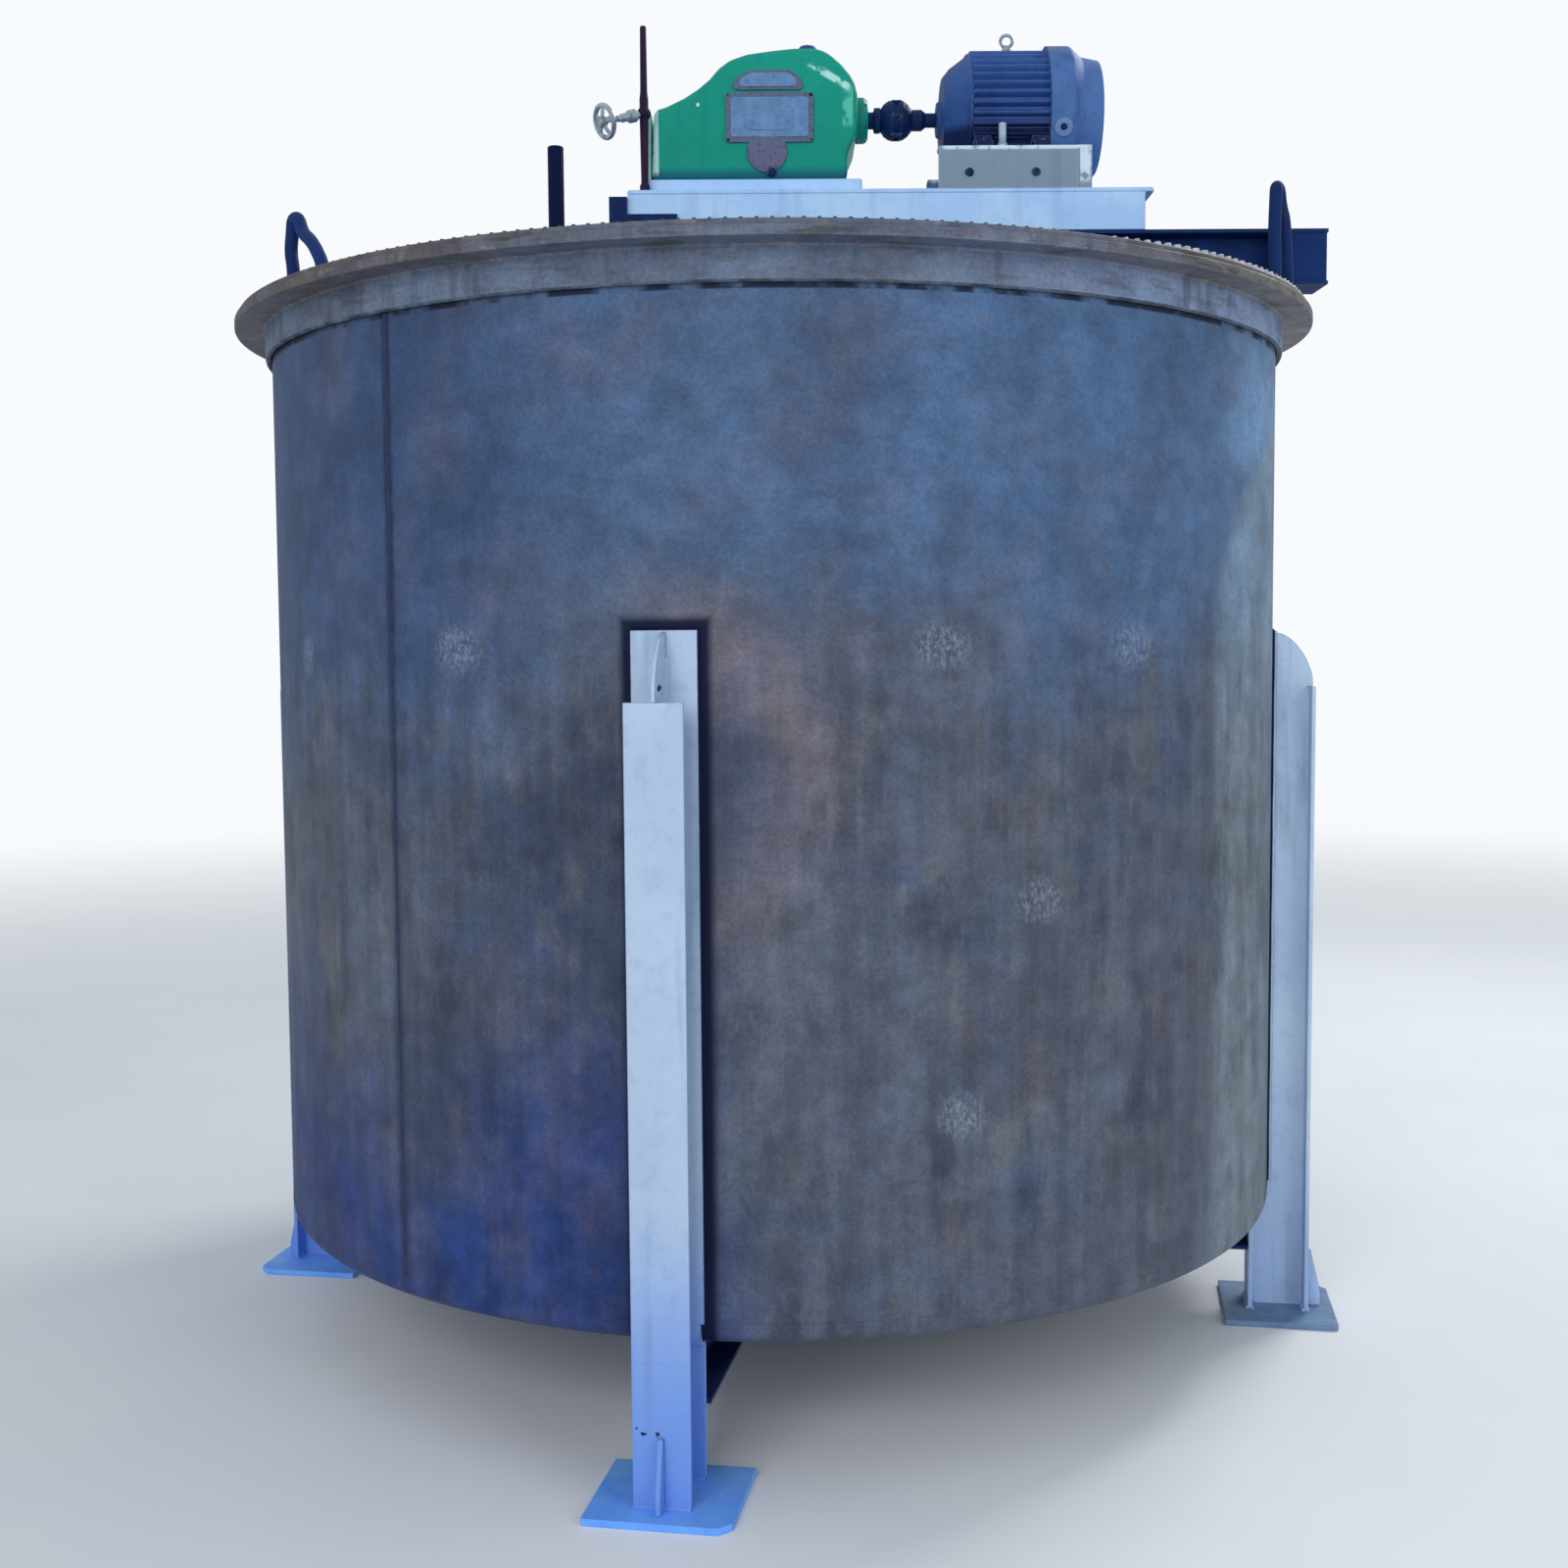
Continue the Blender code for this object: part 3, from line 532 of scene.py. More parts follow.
INK = paint("Weld navy", "beam_navy", [(0.03, 0.07, 0.22), (0.05, 0.09, 0.24)], (0.05, 0.08, 0.16),
            (0.10, 0.14, 0.28), rough=0.6, wear=0.2, runs=0.2, dusty=0.0, specular=0.15)
MAROON = paint("Pipe maroon", "pipe_maroon", [(0.20, 0.09, 0.22), (0.13, 0.07, 0.20)],
               (0.09, 0.05, 0.14), (0.38, 0.30, 0.40), runs=0.3, dusty=0.0, specular=0.3)
print(len(painted), "painted finishes")


# %% [markdown]
# Bare metals come next. Zinc plating is bright with a milky bloom, the coupling is oily cast iron,
# and the gearbox's side covers are dull plate with a brushed grain. Metal takes its colour from what
# it reflects, so most of the work is in the roughness.

# %% Bare metal finishes
def metal(name, slot, tones, stain, metallic, rough, stains=0.5, scale=18.0, wear=0.4, specular=0.4):
    """A bare metal: two tones, dull stains, brighter edges and a fine grain."""
    made, shader, place = new_finish(name, metallic, specular)
    cloud = mottle(place, scale, 0.3, 0.7)
    marks = mottle(place, scale * 2.7, 0.52, 0.66)
    base = layered(tones[0], (cloud, tones[1]), (marks * stains, stain))
    base = layered(base, (worn_edges(place, 0.002, wear), layered(base, (0.6, (0.80, 0.82, 0.86)))))
    dress(shader, base, marks * 0.18 + rough + cloud * 0.1, skin(place, 700.0, 700.0 / 9), 0.2, 0.0008)
    return made, slot


ZINC = metal("Zinc plating", "zinc", [(0.80, 0.84, 0.88), (0.66, 0.72, 0.78)], (0.45, 0.50, 0.58), 0.8, 0.3)
IRON = metal("Oily iron", "coupling_black", [(0.04, 0.14, 0.31), (0.06, 0.18, 0.38)], (0.06, 0.07, 0.16),
             0.1, 0.45, wear=0.2, specular=0.25)
PLATE = metal("Bare side plate", "bare_plate", [(0.45, 0.62, 0.80), (0.39, 0.55, 0.73)],
              (0.42, 0.42, 0.56), 0.3, 0.42, scale=30.0)
PLATE_EDGE = metal("Side plate edge", "bare_plate", [(0.39, 0.45, 0.57), (0.43, 0.42, 0.54)],
                   (0.20, 0.30, 0.40), 0.2, 0.5, stains=0.6, scale=40.0, wear=0.2)
VESSEL = metal("Vessel steel", "vessel_steel", [(0.66, 0.67, 0.68), (0.58, 0.59, 0.61)],
               (0.42, 0.40, 0.38), 0.85, 0.35, scale=6.0)
BOLT = metal("Bolt steel", "zinc", [(0.44, 0.46, 0.50), (0.34, 0.35, 0.39)], (0.30, 0.22, 0.18), 0.4, 0.42,
             stains=0.7, scale=40.0)
# Two copies of the cover screws' steel: a light one that is painted sunlight and a dark one that is painted
# shade.
SUNLIT_SCREW_STEEL = metal("Cover screw steel, painted sunlight", "rim_steel", [(0.84, 0.85, 0.88), (0.62, 0.63, 0.66)],
                   (0.38, 0.33, 0.30), 0.3, 0.42, stains=0.6, scale=40.0)
SHADED_SCREW_STEEL = metal("Cover screw steel, painted shade", "rim_steel", [(0.26, 0.26, 0.28), (0.20, 0.20, 0.23)],
                  (0.28, 0.22, 0.18), 0.2, 0.5, stains=0.6, scale=40.0, wear=0.1)
WELD = metal("Weld metal", "jacket_steel", [(0.13, 0.17, 0.28), (0.19, 0.23, 0.33)], (0.24, 0.21, 0.22),
             0.2, 0.5, scale=60.0, wear=0.2)
BEAD = metal("Belt bead", "rim_steel", [(0.12, 0.15, 0.22), (0.36, 0.41, 0.48)], (0.20, 0.25, 0.24),
             0.1, 0.5, scale=14.0, wear=0.2)
print("materials so far:", len(bpy.data.materials))


# %% [markdown]
# The jacket is bare steel that has stood outdoors. Its broad tones are partly the steel's own and
# partly painted light: blue grey near the top and browner in the middle, where a brighter patch is
# partly a painted highlight, painted shade with a blue sky reflection low on the left, and a paler
# strip of painted sunlight at the right edge, its slanted top the rim's painted shadow. Broad clouds,
# soft runs and mill scale lie over that. Dark heat marks follow the front seam, a dark line edges the
# leg pads, a dark broken line under the belt is painted shadow with dark paint in it, and pale scuffed
# patches sit at chest height. The place on the wall is worked out from Object coordinates, as an
# azimuth and a height.

# %% Jacket finish
PAD_TOP, PAD_HALF = 1.652, 0.063
SCUFF_HALF = 0.045                        # half the height of a rubbed patch
SCUFFS = [(-57, 1.61, 0.07), (-31, 1.62, 0.11), (15, 1.62, 0.11), (36, 1.62, 0.12), (58, 1.62, 0.08),
          (17, 0.72, 0.10), (25, 1.13, 0.10)]         # azimuth, height, width


def wall_place(place):
    """Azimuth in radians from the front towards +X, and height."""
    return maths("ARCTAN2", part(place, "X"), part(place, "Y") * -1.0), part(place, "Z")


def swing(place, scale, amount, stretch=None):
    """A factor between 1 - amount and 1 + amount, from cloud noise."""
    return lerp(fade(noise(place, scale, 5.0, 0.6, stretch), 0.3, 0.7), 1 - amount, 1 + amount)


def shade(base, factor):
    """A colour made lighter or darker by a factor."""
    return add("HueSaturation", 0, {"Color": base, "Value": factor})


def smears(place, stretches, low, high, strength):
    """Layers of smears: noise with a stretch of its own for each tone, cut between low and high."""
    return [(fade(noise(place, 1.0, 4.0, 0.6, stretch), low, high) * strength, tone)
            for stretch, tone in stretches]


def scuff_mask(place, azimuth, height):
    """Pale scuffed patches: short scratches inside soft ellipses."""
    total = 0.0
    for angle, z, width in SCUFFS:
        across = (azimuth - math.radians(angle)) * (TANK_R / (width / 2))
        along = (height - z) * (1 / SCUFF_HALF)
        total = total + fade(across * across + along * along, 1.8, 0.0)
    return fade(noise(place, 1.0, 6.0, 0.75, (150.0, 150.0, 80.0)), 0.42, 0.66) * total


def wall_tones(place, azimuth, height):
    """The broad tones: blue grey above, brown grey below, painted shade in deep blue low on the left,
    and painted sunlight at the right edge. All are partly painted light over the steel's own tone.

    ahead ends the tones that belong to one side before they meet at the rear."""
    drift = noise(place, 1.7, 3.0) - 0.5
    z, a = height + drift * 1.1, azimuth + drift * 0.6
    ahead = fade(abs(azimuth), 2.8, 1.9)
    clear = fade(a, -0.1, 0.5) * fade(z, 1.40, 1.95) * ahead
    dim = fade(a, -0.2, -0.6) * fade(z, 1.3, 1.9) * ahead
    # warm: a brighter brown patch in the middle, partly a painted highlight.
    warm = near(z, 1.42, 0.08, 0.32) * near(a, -0.10, 0.08, 0.16)
    # A darker patch at mid height on the front left.
    darker_patch = near(a, -0.32, 0.12, 0.24) * near(z, 1.08, 0.16, 0.34)
    # Deep blue low on the left: painted shade with a blue sky reflection.
    shade_low_left = fade(z, 1.10, 0.50) * fade(a, 0.02, -0.30) * ahead
    # Painted sunlight on the right edge: a pale band under the rim, and a strip whose slanted upper edge is
    # the rim's painted shadow.
    sunlit_band = fade(azimuth, 0.83, 1.03) * near(height, 2.14, 0.09, 0.16) * fade(azimuth, 2.0, 1.6)
    rim_shadow_edge = azimuth - maths("POWER", maths("MAXIMUM", height - 1.62, 0.0), 2.5) * 2.1
    sunlit_strip = fade(rim_shadow_edge, 0.83, 0.91) * fade(azimuth, 2.0, 1.5)
    pale = layered((0.45, 0.50, 0.54), (fade(height, 1.25, 1.85), (0.48, 0.58, 0.67)))
    base = layered((0.33, 0.36, 0.42), (fade(z, 1.30, 1.98), (0.29, 0.38, 0.51)),
                   (clear * 0.8, (0.31, 0.42, 0.57)), (dim * 0.85, (0.22, 0.30, 0.44)),
                   (warm * 0.7, (0.46, 0.43, 0.46)), (darker_patch * 0.75, (0.22, 0.26, 0.35)),
                   (shade_low_left * 0.95, (0.12, 0.22, 0.45)), (sunlit_band * 0.75, (0.45, 0.59, 0.74)), (sunlit_strip * 0.8, pale))
    return base, shade_low_left


def jacket_finish():
    """Weathered steel plate, toned by its place on the wall, partly with painted light and shade."""
    made, shader, place = new_finish("Jacket steel", 0.15, 0.3)
    azimuth, height = wall_place(place)
    base, shade_low_left = wall_tones(place, azimuth, height)
    brown = mottle(place, 24.0, 0.58, 0.76)
    strength = lerp(fade(height, 1.80, 1.40) * (1.0 - shade_low_left * 0.9), 0.10, 0.42)
    base = layered(base, (mottle(place, 4.3, 0.45, 0.72) * 0.35, (0.37, 0.35, 0.40)),
                   (mottle(place, 6.1, 0.50, 0.75) * 0.35, (0.22, 0.32, 0.48)),
                   (brown * 0.35, (0.36, 0.30, 0.30)),
                   *smears(place, (((9.0, 9.0, 5.0), (0.42, 0.41, 0.42)),
                                   ((11.3, 11.3, 5.0), (0.18, 0.21, 0.28))), 0.51, 0.68, strength))
    streaks = lerp(fade(height, 1.9, 1.4), 1.0, swing(place, 1.0, 0.16, (24.0, 24.0, 1.5)))
    light = swing(place, 5.0, 0.14) * swing(place, 17.0, 0.14) * streaks
    light = light * swing(place, 1.0, 0.08, (5.0, 5.0, 13.0))
    grain = noise(place, 130.0, 4.0, 0.7)
    base = shade(base, light * lerp(fade(grain, 0.3, 0.7), 0.84, 1.16))

    ragged = lerp(fade(noise(place, 26.0, 4.0), 0.30, 0.55), 0.5, 1.0)
    seam = near(azimuth, math.radians(SEAMS[0]), 0.005, 0.012)
    seam = seam * lerp(fade(height, 1.2, 2.0), 0.5, 0.9) * ragged
    from_leg = maths("PINGPONG", azimuth + math.radians(-LEGS[0]), math.pi / 4) * TANK_R
    off_pad = maths("MAXIMUM", from_leg - PAD_HALF, height - PAD_TOP)
    # A dark broken line just under the belt: painted shadow of the belt's lower edge, with dark paint.
    line = near(height, BELT_BOTTOM - 0.007, 0.005, 0.004) * fade(noise(place, 11.0, 3.0), 0.42, 0.56)
    wear_and_highlights = scuff_mask(place, azimuth, height)
    base = layered(base, (seam, (0.10, 0.16, 0.32)), (fade(off_pad, 0.034, 0.013) * 0.97, (0.0, 0.04, 0.18)),
                   (line * 0.9, (0.07, 0.10, 0.16)), (wear_and_highlights * 0.6, (0.60, 0.64, 0.70)))
    dress(shader, base, grain * 0.16 + 0.50, grain * 0.5 + brown * 0.3 + wear_and_highlights * 0.2, 0.3, 0.0014)
    return made, "jacket_steel"


JACKET = jacket_finish()
print("jacket finish has", len(JACKET[0].node_tree.nodes), "nodes")


# %% [markdown]
# The rim and the cover are the same steel with brown water stains. The flange's edge is browner than
# the belt below it, so the stain gets stronger with height.

# %% Rim finish
def rim_finish():
    """Steel with brown stains that hang from the flange's edge."""
    made, shader, place = new_finish("Rim steel", 0.15, 0.3)
    azimuth, height = wall_place(place)
    right = fade(azimuth, 0.1, 0.9) * fade(azimuth, 2.8, 1.6)
    upper = fade(height, FLANGE_BOTTOM - 0.012, FLANGE_BOTTOM + 0.004)
    patch = mottle(place, 6.5, 0.30, 0.62)
    stain = upper * lerp(fade(abs(azimuth), 0.10, 0.70), 0.15, 0.75)
    stain = maths("ADD", stain, patch * 0.2, clamp=True)
    khaki = upper * fade(azimuth, 0.60, 0.95) * fade(azimuth, 2.4, 1.6)
    wet = rain_runs(place, 30.0, 5.0, 0.52, 0.66)
    spots = (((8.0, 8.0, 40.0), (0.22, 0.25, 0.20)), ((11.7, 11.7, 40.0), (0.36, 0.31, 0.40)),
             ((15.9, 15.9, 40.0), (0.47, 0.47, 0.50)))
    base = layered((0.41, 0.48, 0.58), (mottle(place, 4.0, 0.35, 0.65), (0.36, 0.41, 0.50)),
                   (right, (0.52, 0.60, 0.74)), (stain, (0.38, 0.35, 0.34)),
                   (khaki * 0.6, (0.49, 0.46, 0.42)),
                   *smears(place, spots, 0.54, 0.66, lerp(upper, 0.35, 0.6)),
                   (wet * 0.4, (0.22, 0.22, 0.27)))
    base = shade(base, swing(place, 14.0, 0.16) * swing(place, 130.0, 0.14))
    base = layered(base, (worn_edges(place, 0.004, 0.5) * 0.7, (0.60, 0.60, 0.62)),
                   (dust(place, 0.35), (0.50, 0.47, 0.45)))
    dress(shader, base, patch * 0.18 + 0.46, noise(place, 130.0, 3.0) + patch * 0.3, 0.3, 0.0014)
    return made, "rim_steel"


RIM_STEEL = rim_finish()
print("rim finish has", len(RIM_STEEL[0].node_tree.nodes), "nodes")


# %% [markdown]
# One function turns shells into a finished piece. It writes the arrays into a mesh, welds doubles so
# that poles and seams close, turns the faces outwards, marks sharp edges and weights the normals, so
# that flat faces stay flat beside rounded corners. The piece rides on a CAD body, and hides the CAD
# nodes it stands for.

# %% From shells to a piece
made_pieces = {}


def make(name, shells, finish, nodes=(), body="tank", bevel=0.0, crisp=34.0):
    """Join closed shells into one piece with a finish, a body and the CAD nodes it replaces."""
    points, faces = merged(shells)
    sizes = np.concatenate([np.full(len(quads), quads.shape[1]) for quads in faces])
    corners = np.concatenate([quads.ravel() for quads in faces])
    mesh = bpy.data.meshes.new(name)
    mesh.vertices.add(len(points))
    mesh.vertices.foreach_set("co", points.ravel())
    mesh.loops.add(len(corners))
    mesh.loops.foreach_set("vertex_index", corners)
    mesh.polygons.add(len(sizes))
    mesh.polygons.foreach_set("loop_start", np.cumsum(sizes) - sizes)
    mesh.update(calc_edges=True)
    work = bmesh.new()
    work.from_mesh(mesh)
    bmesh.ops.remove_doubles(work, verts=work.verts, dist=2e-6)
    bmesh.ops.recalc_face_normals(work, faces=work.faces)
    work.to_mesh(mesh)
    work.free()
    mesh.polygons.foreach_set("use_smooth", np.ones(len(mesh.polygons), bool))
    mesh.set_sharp_from_angle(angle=math.radians(crisp))
    mesh.materials.append(finish[0])
    piece = bpy.data.objects.new(name, mesh)
    bpy.context.scene.collection.objects.link(piece)
    if bevel:
        edge = piece.modifiers.new("Rounded edges", "BEVEL")
        edge.width, edge.segments = bevel, 2
        edge.limit_method, edge.angle_limit = "ANGLE", math.radians(50)
    piece.modifiers.new("Flat faces stay flat", "WEIGHTED_NORMAL").keep_sharp = True
    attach(piece, body)
    if nodes:
        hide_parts(*nodes)
    made_pieces[name] = len(mesh.polygons)


print("pieces can be made")


# %% [markdown]
# The jacket wall is four rolled plates. Rolling never leaves a true cylinder, so each plate gets a
# shallow wave of up to 2 mm, always inwards, so that it can't touch the pads outside it. The wave is
# a sum of slow sines over azimuth and height. The plate's cross-section is a closed loop up the
# outside and down the inside, carried from seam to seam. A low bead closes each seam and the pan.

# %% Jacket plates, pan and their welds
def wave(a, z):
    """How far the wall stands inside the true cylinder at azimuth a and height z.

    0.7 mm * (1 + sin(3a + 1) sin(2.4z)) + 0.3 mm * (1 + sin(9a + 3z))."""
    return 0.0007 * (1 + np.sin(3 * a + 1) * np.sin(2.4 * z)) + 0.0003 * (1 + np.sin(9 * a + 3 * z))


def wall_plate(first, last, low, high):
    """Radius = tank radius - wave, up the outside and down the inside, at each azimuth."""
    azimuth = np.linspace(first, last, 181)[:, None]
    z = np.append(np.linspace(low, high, 49), [high, low])
    inside = np.append(np.zeros(49), [WALL, WALL])
    radius = TANK_R - wave(np.radians(azimuth), z) - inside
    return on_wall(azimuth, radius, z).reshape(-1, 3), tube(181, 51)


gap = math.degrees(CLEAR / TANK_R)
for side, seam in zip(SIDES, SEAMS):
    plate = wall_plate(seam + gap, seam + 90 - gap, PAN_TOP + CLEAR, FLANGE_BOTTOM - CLEAR)
    make("wall_" + side, [plate], JACKET, ["jacket_plate_" + side])
pan = rounded([(0, TANK_BOTTOM), (TANK_R, TANK_BOTTOM), (TANK_R, PAN_TOP), (TANK_R - WALL, PAN_TOP),
               (TANK_R - WALL, TANK_BOTTOM + WALL), (0, TANK_BOTTOM + WALL)],
              [0, 0.030, 0.0005, 0.0005, 0.022, 0], 8)
make("pan", [turned(pan, 360)], JACKET, ["jacket_bottom"])
RING = np.arange(720) / 2
make("pan_weld", [bead(on_wall(RING, TANK_R - 0.0009, PAN_TOP), on_wall(RING, 1.0, 0.0),
                       0.010, 0.0014, 0.009, True)], JACKET)
rise = np.linspace(PAN_TOP + 0.006, BELT_BOTTOM - 0.008, 40)
welds = [bead(on_wall(seam, TANK_R - 0.0006 - wave(math.radians(seam), rise), rise),
              on_wall(seam, 1.0, 0.0), 0.010, height)
         for seam, height in zip(SEAMS, (0.0022, 0.0010, 0.0010, 0.0010))]
make("seam_weld_front", welds[:1], WELD)
make("seam_welds", welds[1:], JACKET)
print("wall, pan and welds:", sum(made_pieces.values()), "faces")


# %% [markdown]
# The rim ring is a flat flange with a belt of plate below it, and the cover lies on it. Both are
# turned profiles with eased corners. A ring of cap screws clamps the cover, close enough together to
# look like a rope edge from below. On the right they grow larger, and their lighter steel is painted
# sunlight; the darker steel of the rest is painted shade.

# %% Rim, cover and cover screws
rim = rounded([(FLANGE_R, FLANGE_TOP), (FLANGE_R, FLANGE_BOTTOM), (BELT_R, FLANGE_BOTTOM),
               (BELT_R, BELT_BOTTOM), (BELT_INSIDE, BELT_BOTTOM), (BELT_INSIDE, FLANGE_BOTTOM),
               (VESSEL_R, FLANGE_BOTTOM), (VESSEL_R, FLANGE_TOP)],
              [0.003, 0.003, 0.006, 0.003, 0.001, 0.001, 0.001, 0.001], 5)
make("rim", [turned(rim, 360)], RIM_STEEL, ["rim_ring"])
cover = rounded([(0, COVER_LOW), (COVER_R, COVER_LOW), (COVER_R, COVER_TOP), (0, COVER_TOP)],
                [0, 0.002, 0.004, 0])
make("cover", [turned(cover, 360)], RIM_STEEL, ["cover_plate"])
SCREWS, SCREW_SMALL, SCREW_LARGE = 280, 0.0045, 0.0095
BRIGHT_FROM, BRIGHT_TO, GROW_OVER = 30, 86, 9     # degrees
turns = np.arange(SCREWS) * 360 / SCREWS + 1.2
screws = on_wall(turns, COVER_R - 0.014, COVER_TOP)
# Screws in this arc take the painted-sunlight steel, the rest the painted-shade steel.
bright = (turns > BRIGHT_FROM) & (turns < BRIGHT_TO)
growth = np.clip(np.minimum(turns - BRIGHT_FROM, BRIGHT_TO - turns) / GROW_OVER, 0, 1)
right_screws = [bolts(place, Z_AXIS, SCREW_SMALL + (SCREW_LARGE - SCREW_SMALL) * share)
                for place, share in zip(screws[bright], growth[bright])]
make("cover_screws_right", right_screws, SUNLIT_SCREW_STEEL)
make("cover_screws", [bolts(screws[~bright], Z_AXIS, SCREW_SMALL)], SHADED_SCREW_STEEL)
make("rim_welds", [bead(on_wall(RING, BELT_R - 0.005, BELT_BOTTOM - 0.0005), on_wall(RING, 0.8, -0.6),
                        0.009, 0.0035, 0.008, True)], BEAD)
print(SCREWS, "cover screws,", round(2 * math.pi * COVER_R / SCREWS * 1000), "mm apart")


# %% [markdown]
# A leg is a rolled beam cut to fit the tank: the inner flange stops under the pan, the web is cut
# back to stand off the wall, and above the outer flange it ends in a round nose. A pad spreads the
# load on the jacket. Each leg is modelled at the front and turned into place.

# %% Legs and feet
LEG_FACE, LEG_INNER, LEG_TOP = 1.300, 1.158, 1.520
LEG_HALF, LEG_PLATE, LEG_WEB = 0.0563, 0.010, 0.004
NOSE_WIDE, NOSE_TALL = 0.082, 0.116
FOOT_TOP = span("foot_plate_front")[1][2]
FOOT_HALF, FOOT_NEAR, FOOT_FAR, FOOT_CLIP = 0.1425, 1.100, 1.362, 0.024
PAD_R, PAD_LOW, PAD_THICK = TANK_R + CLEAR, PAN_TOP + 0.006, 0.010
PAD_TURN = math.degrees(PAD_HALF / TANK_R)
KNUCKLE, STRAP_OUTER, STRAP_INNER = 0.030, 0.0405, 0.0312     # where the strap bends under the pan


def leg_shells():
    """The beam below the pan, the tee beside the wall, its nose, the pad, the bent strap and the rib."""
    h, w, out, back = LEG_HALF, LEG_WEB, LEG_FACE, LEG_FACE - LEG_PLATE
    tip, root = 0.0025, 0.009
    low, edge, stand = FOOT_TOP + CLEAR, -out + 0.002, PAD_R + PAD_THICK - 0.001
    beam = h_beam(out - LEG_INNER, 2 * h, LEG_PLATE, 2 * w, root, tip, 6) - [0, (out + LEG_INNER) / 2]
    tee = [(-h, -out), (h, -out), (h, -back), (w, -back), (w, -stand), (-w, -stand), (-w, -back), (-h, -back)]
    tee = rounded(tee, [tip, tip, tip, root, 0.0005, 0.0005, root, tip], 6)
    t = np.linspace(0, math.pi / 2, 20)
    nose = [(edge, LEG_TOP + 0.0002), (-stand, LEG_TOP + 0.0002), (-stand, PAD_TOP - 0.004),
            *join(edge + NOSE_WIDE * (1 - np.sin(t) ** 1.25),
                  PAD_TOP - 0.004 - NOSE_TALL * (1 - np.cos(t) ** 1.25))]
    pad = oblong((0, PAD_LOW), (PAD_THICK, PAD_TOP), [0.0005, 0.003, 0.003, 0.0005])
    turns = np.linspace(-PAD_TURN, PAD_TURN, 13)
    bend = np.linspace(0, math.pi / 2, 10)
    outer, inner = (join(-TANK_R + KNUCKLE - r * np.cos(bend), TANK_BOTTOM + KNUCKLE - r * np.sin(bend))
                    for r in (STRAP_OUTER, STRAP_INNER))
    strap = [(-stand + 0.001, PAN_TOP + 0.010), *outer, *inner[::-1], (-PAD_R, PAN_TOP + 0.010)]
    rib = [(edge, low), (edge, 0.150), (-out - 0.010, 0.150), (-out - 0.034, 0.045), (-out - 0.034, low)]
    return [prism(beam, 2, low, TANK_BOTTOM - 0.0006), prism(tee, 2, TANK_BOTTOM - 0.0004, LEG_TOP),
            prism(nose, 0, -w, w), swept(pad, on_wall(turns, PAD_R, 0.0), on_wall(turns, 1.0, 0.0), Z_AXIS),
            prism(strap, 0, -h, h), prism(rounded(rib, 0.002, 3), 0, -0.005, 0.005)]


def pad_welds():
    """The dark fillet round the pad."""
    side, edge = np.linspace(PAD_LOW, PAD_TOP, 30), np.full(30, PAD_TURN)
    across = np.linspace(-PAD_TURN, PAD_TURN, 9)
    path = [on_wall(-edge, PAD_R, side), on_wall(across, PAD_R, PAD_TOP), on_wall(edge, PAD_R, side[::-1])]
    out = [on_wall(-edge - 45.0, 1.0, 0.0), on_wall(across, 0.7, 0.7), on_wall(edge + 45.0, 1.0, 0.0)]
    return [bead(np.concatenate(path), np.concatenate(out), 0.012, 0.0045)]


def leg_welds():
    """Painted fillets down both sides of the web and round the beam's foot."""
    floor = FOOT_TOP + 0.001
    rise = np.linspace(PAD_LOW + 0.01, PAD_TOP - 0.05, 30)
    x = np.linspace(-LEG_HALF, LEG_HALF, 12)
    y = np.linspace(-LEG_FACE + 0.01, -LEG_INNER - 0.01, 12)
    web = [bead(join(sign * LEG_WEB, -PAD_R - PAD_THICK, rise), (sign * 0.7, -0.7, 0), 0.009, 0.004)
           for sign in (-1, 1)]
    flanges = [bead(join(x, at, floor), (0, facing * 0.7, 0.7), 0.010, 0.004)
               for at, facing in ((-LEG_FACE, -1), (-LEG_FACE + LEG_PLATE, 1), (-LEG_INNER, 1),
                                  (-LEG_INNER - LEG_PLATE, -1))]
    return web + flanges + [bead(join(sign * LEG_WEB, y, floor), (sign * 0.7, 0, 0.7), 0.010, 0.004)
                            for sign in (-1, 1)]


def chips():
    """Bare spots where the paint has flaked over the rib, and a hole's painted shade on the web above the
    flange.
    """
    shells = []
    a = full_turn(9)
    for x, z, wide, tall in ((-0.034, 0.156, 0.012, 0.007), (-0.007, 0.157, 0.009, 0.010),
                             (-0.047, 0.166, 0.006, 0.005)):
        size = 0.5 + 0.14 * np.sin(3 * a + 900 * x)
        flake = join(x + wide * size * np.cos(a), z + tall * size * np.sin(a))
        shells.append(prism(flake, 1, -LEG_FACE - 0.0003, -LEG_FACE))
    # The dark disc on the web is painted shade that stands for a hole.
    a = full_turn(12)
    hole_shade = join(-1.262 + 0.017 * np.cos(a) * (1 + 0.2 * np.sin(2 * a)),
                LEG_TOP + 0.026 + 0.006 * np.sin(a) * (1 + 0.3 * np.cos(3 * a)))
    return shells + [prism(hole_shade, 0, LEG_WEB, LEG_WEB + 0.0003)]


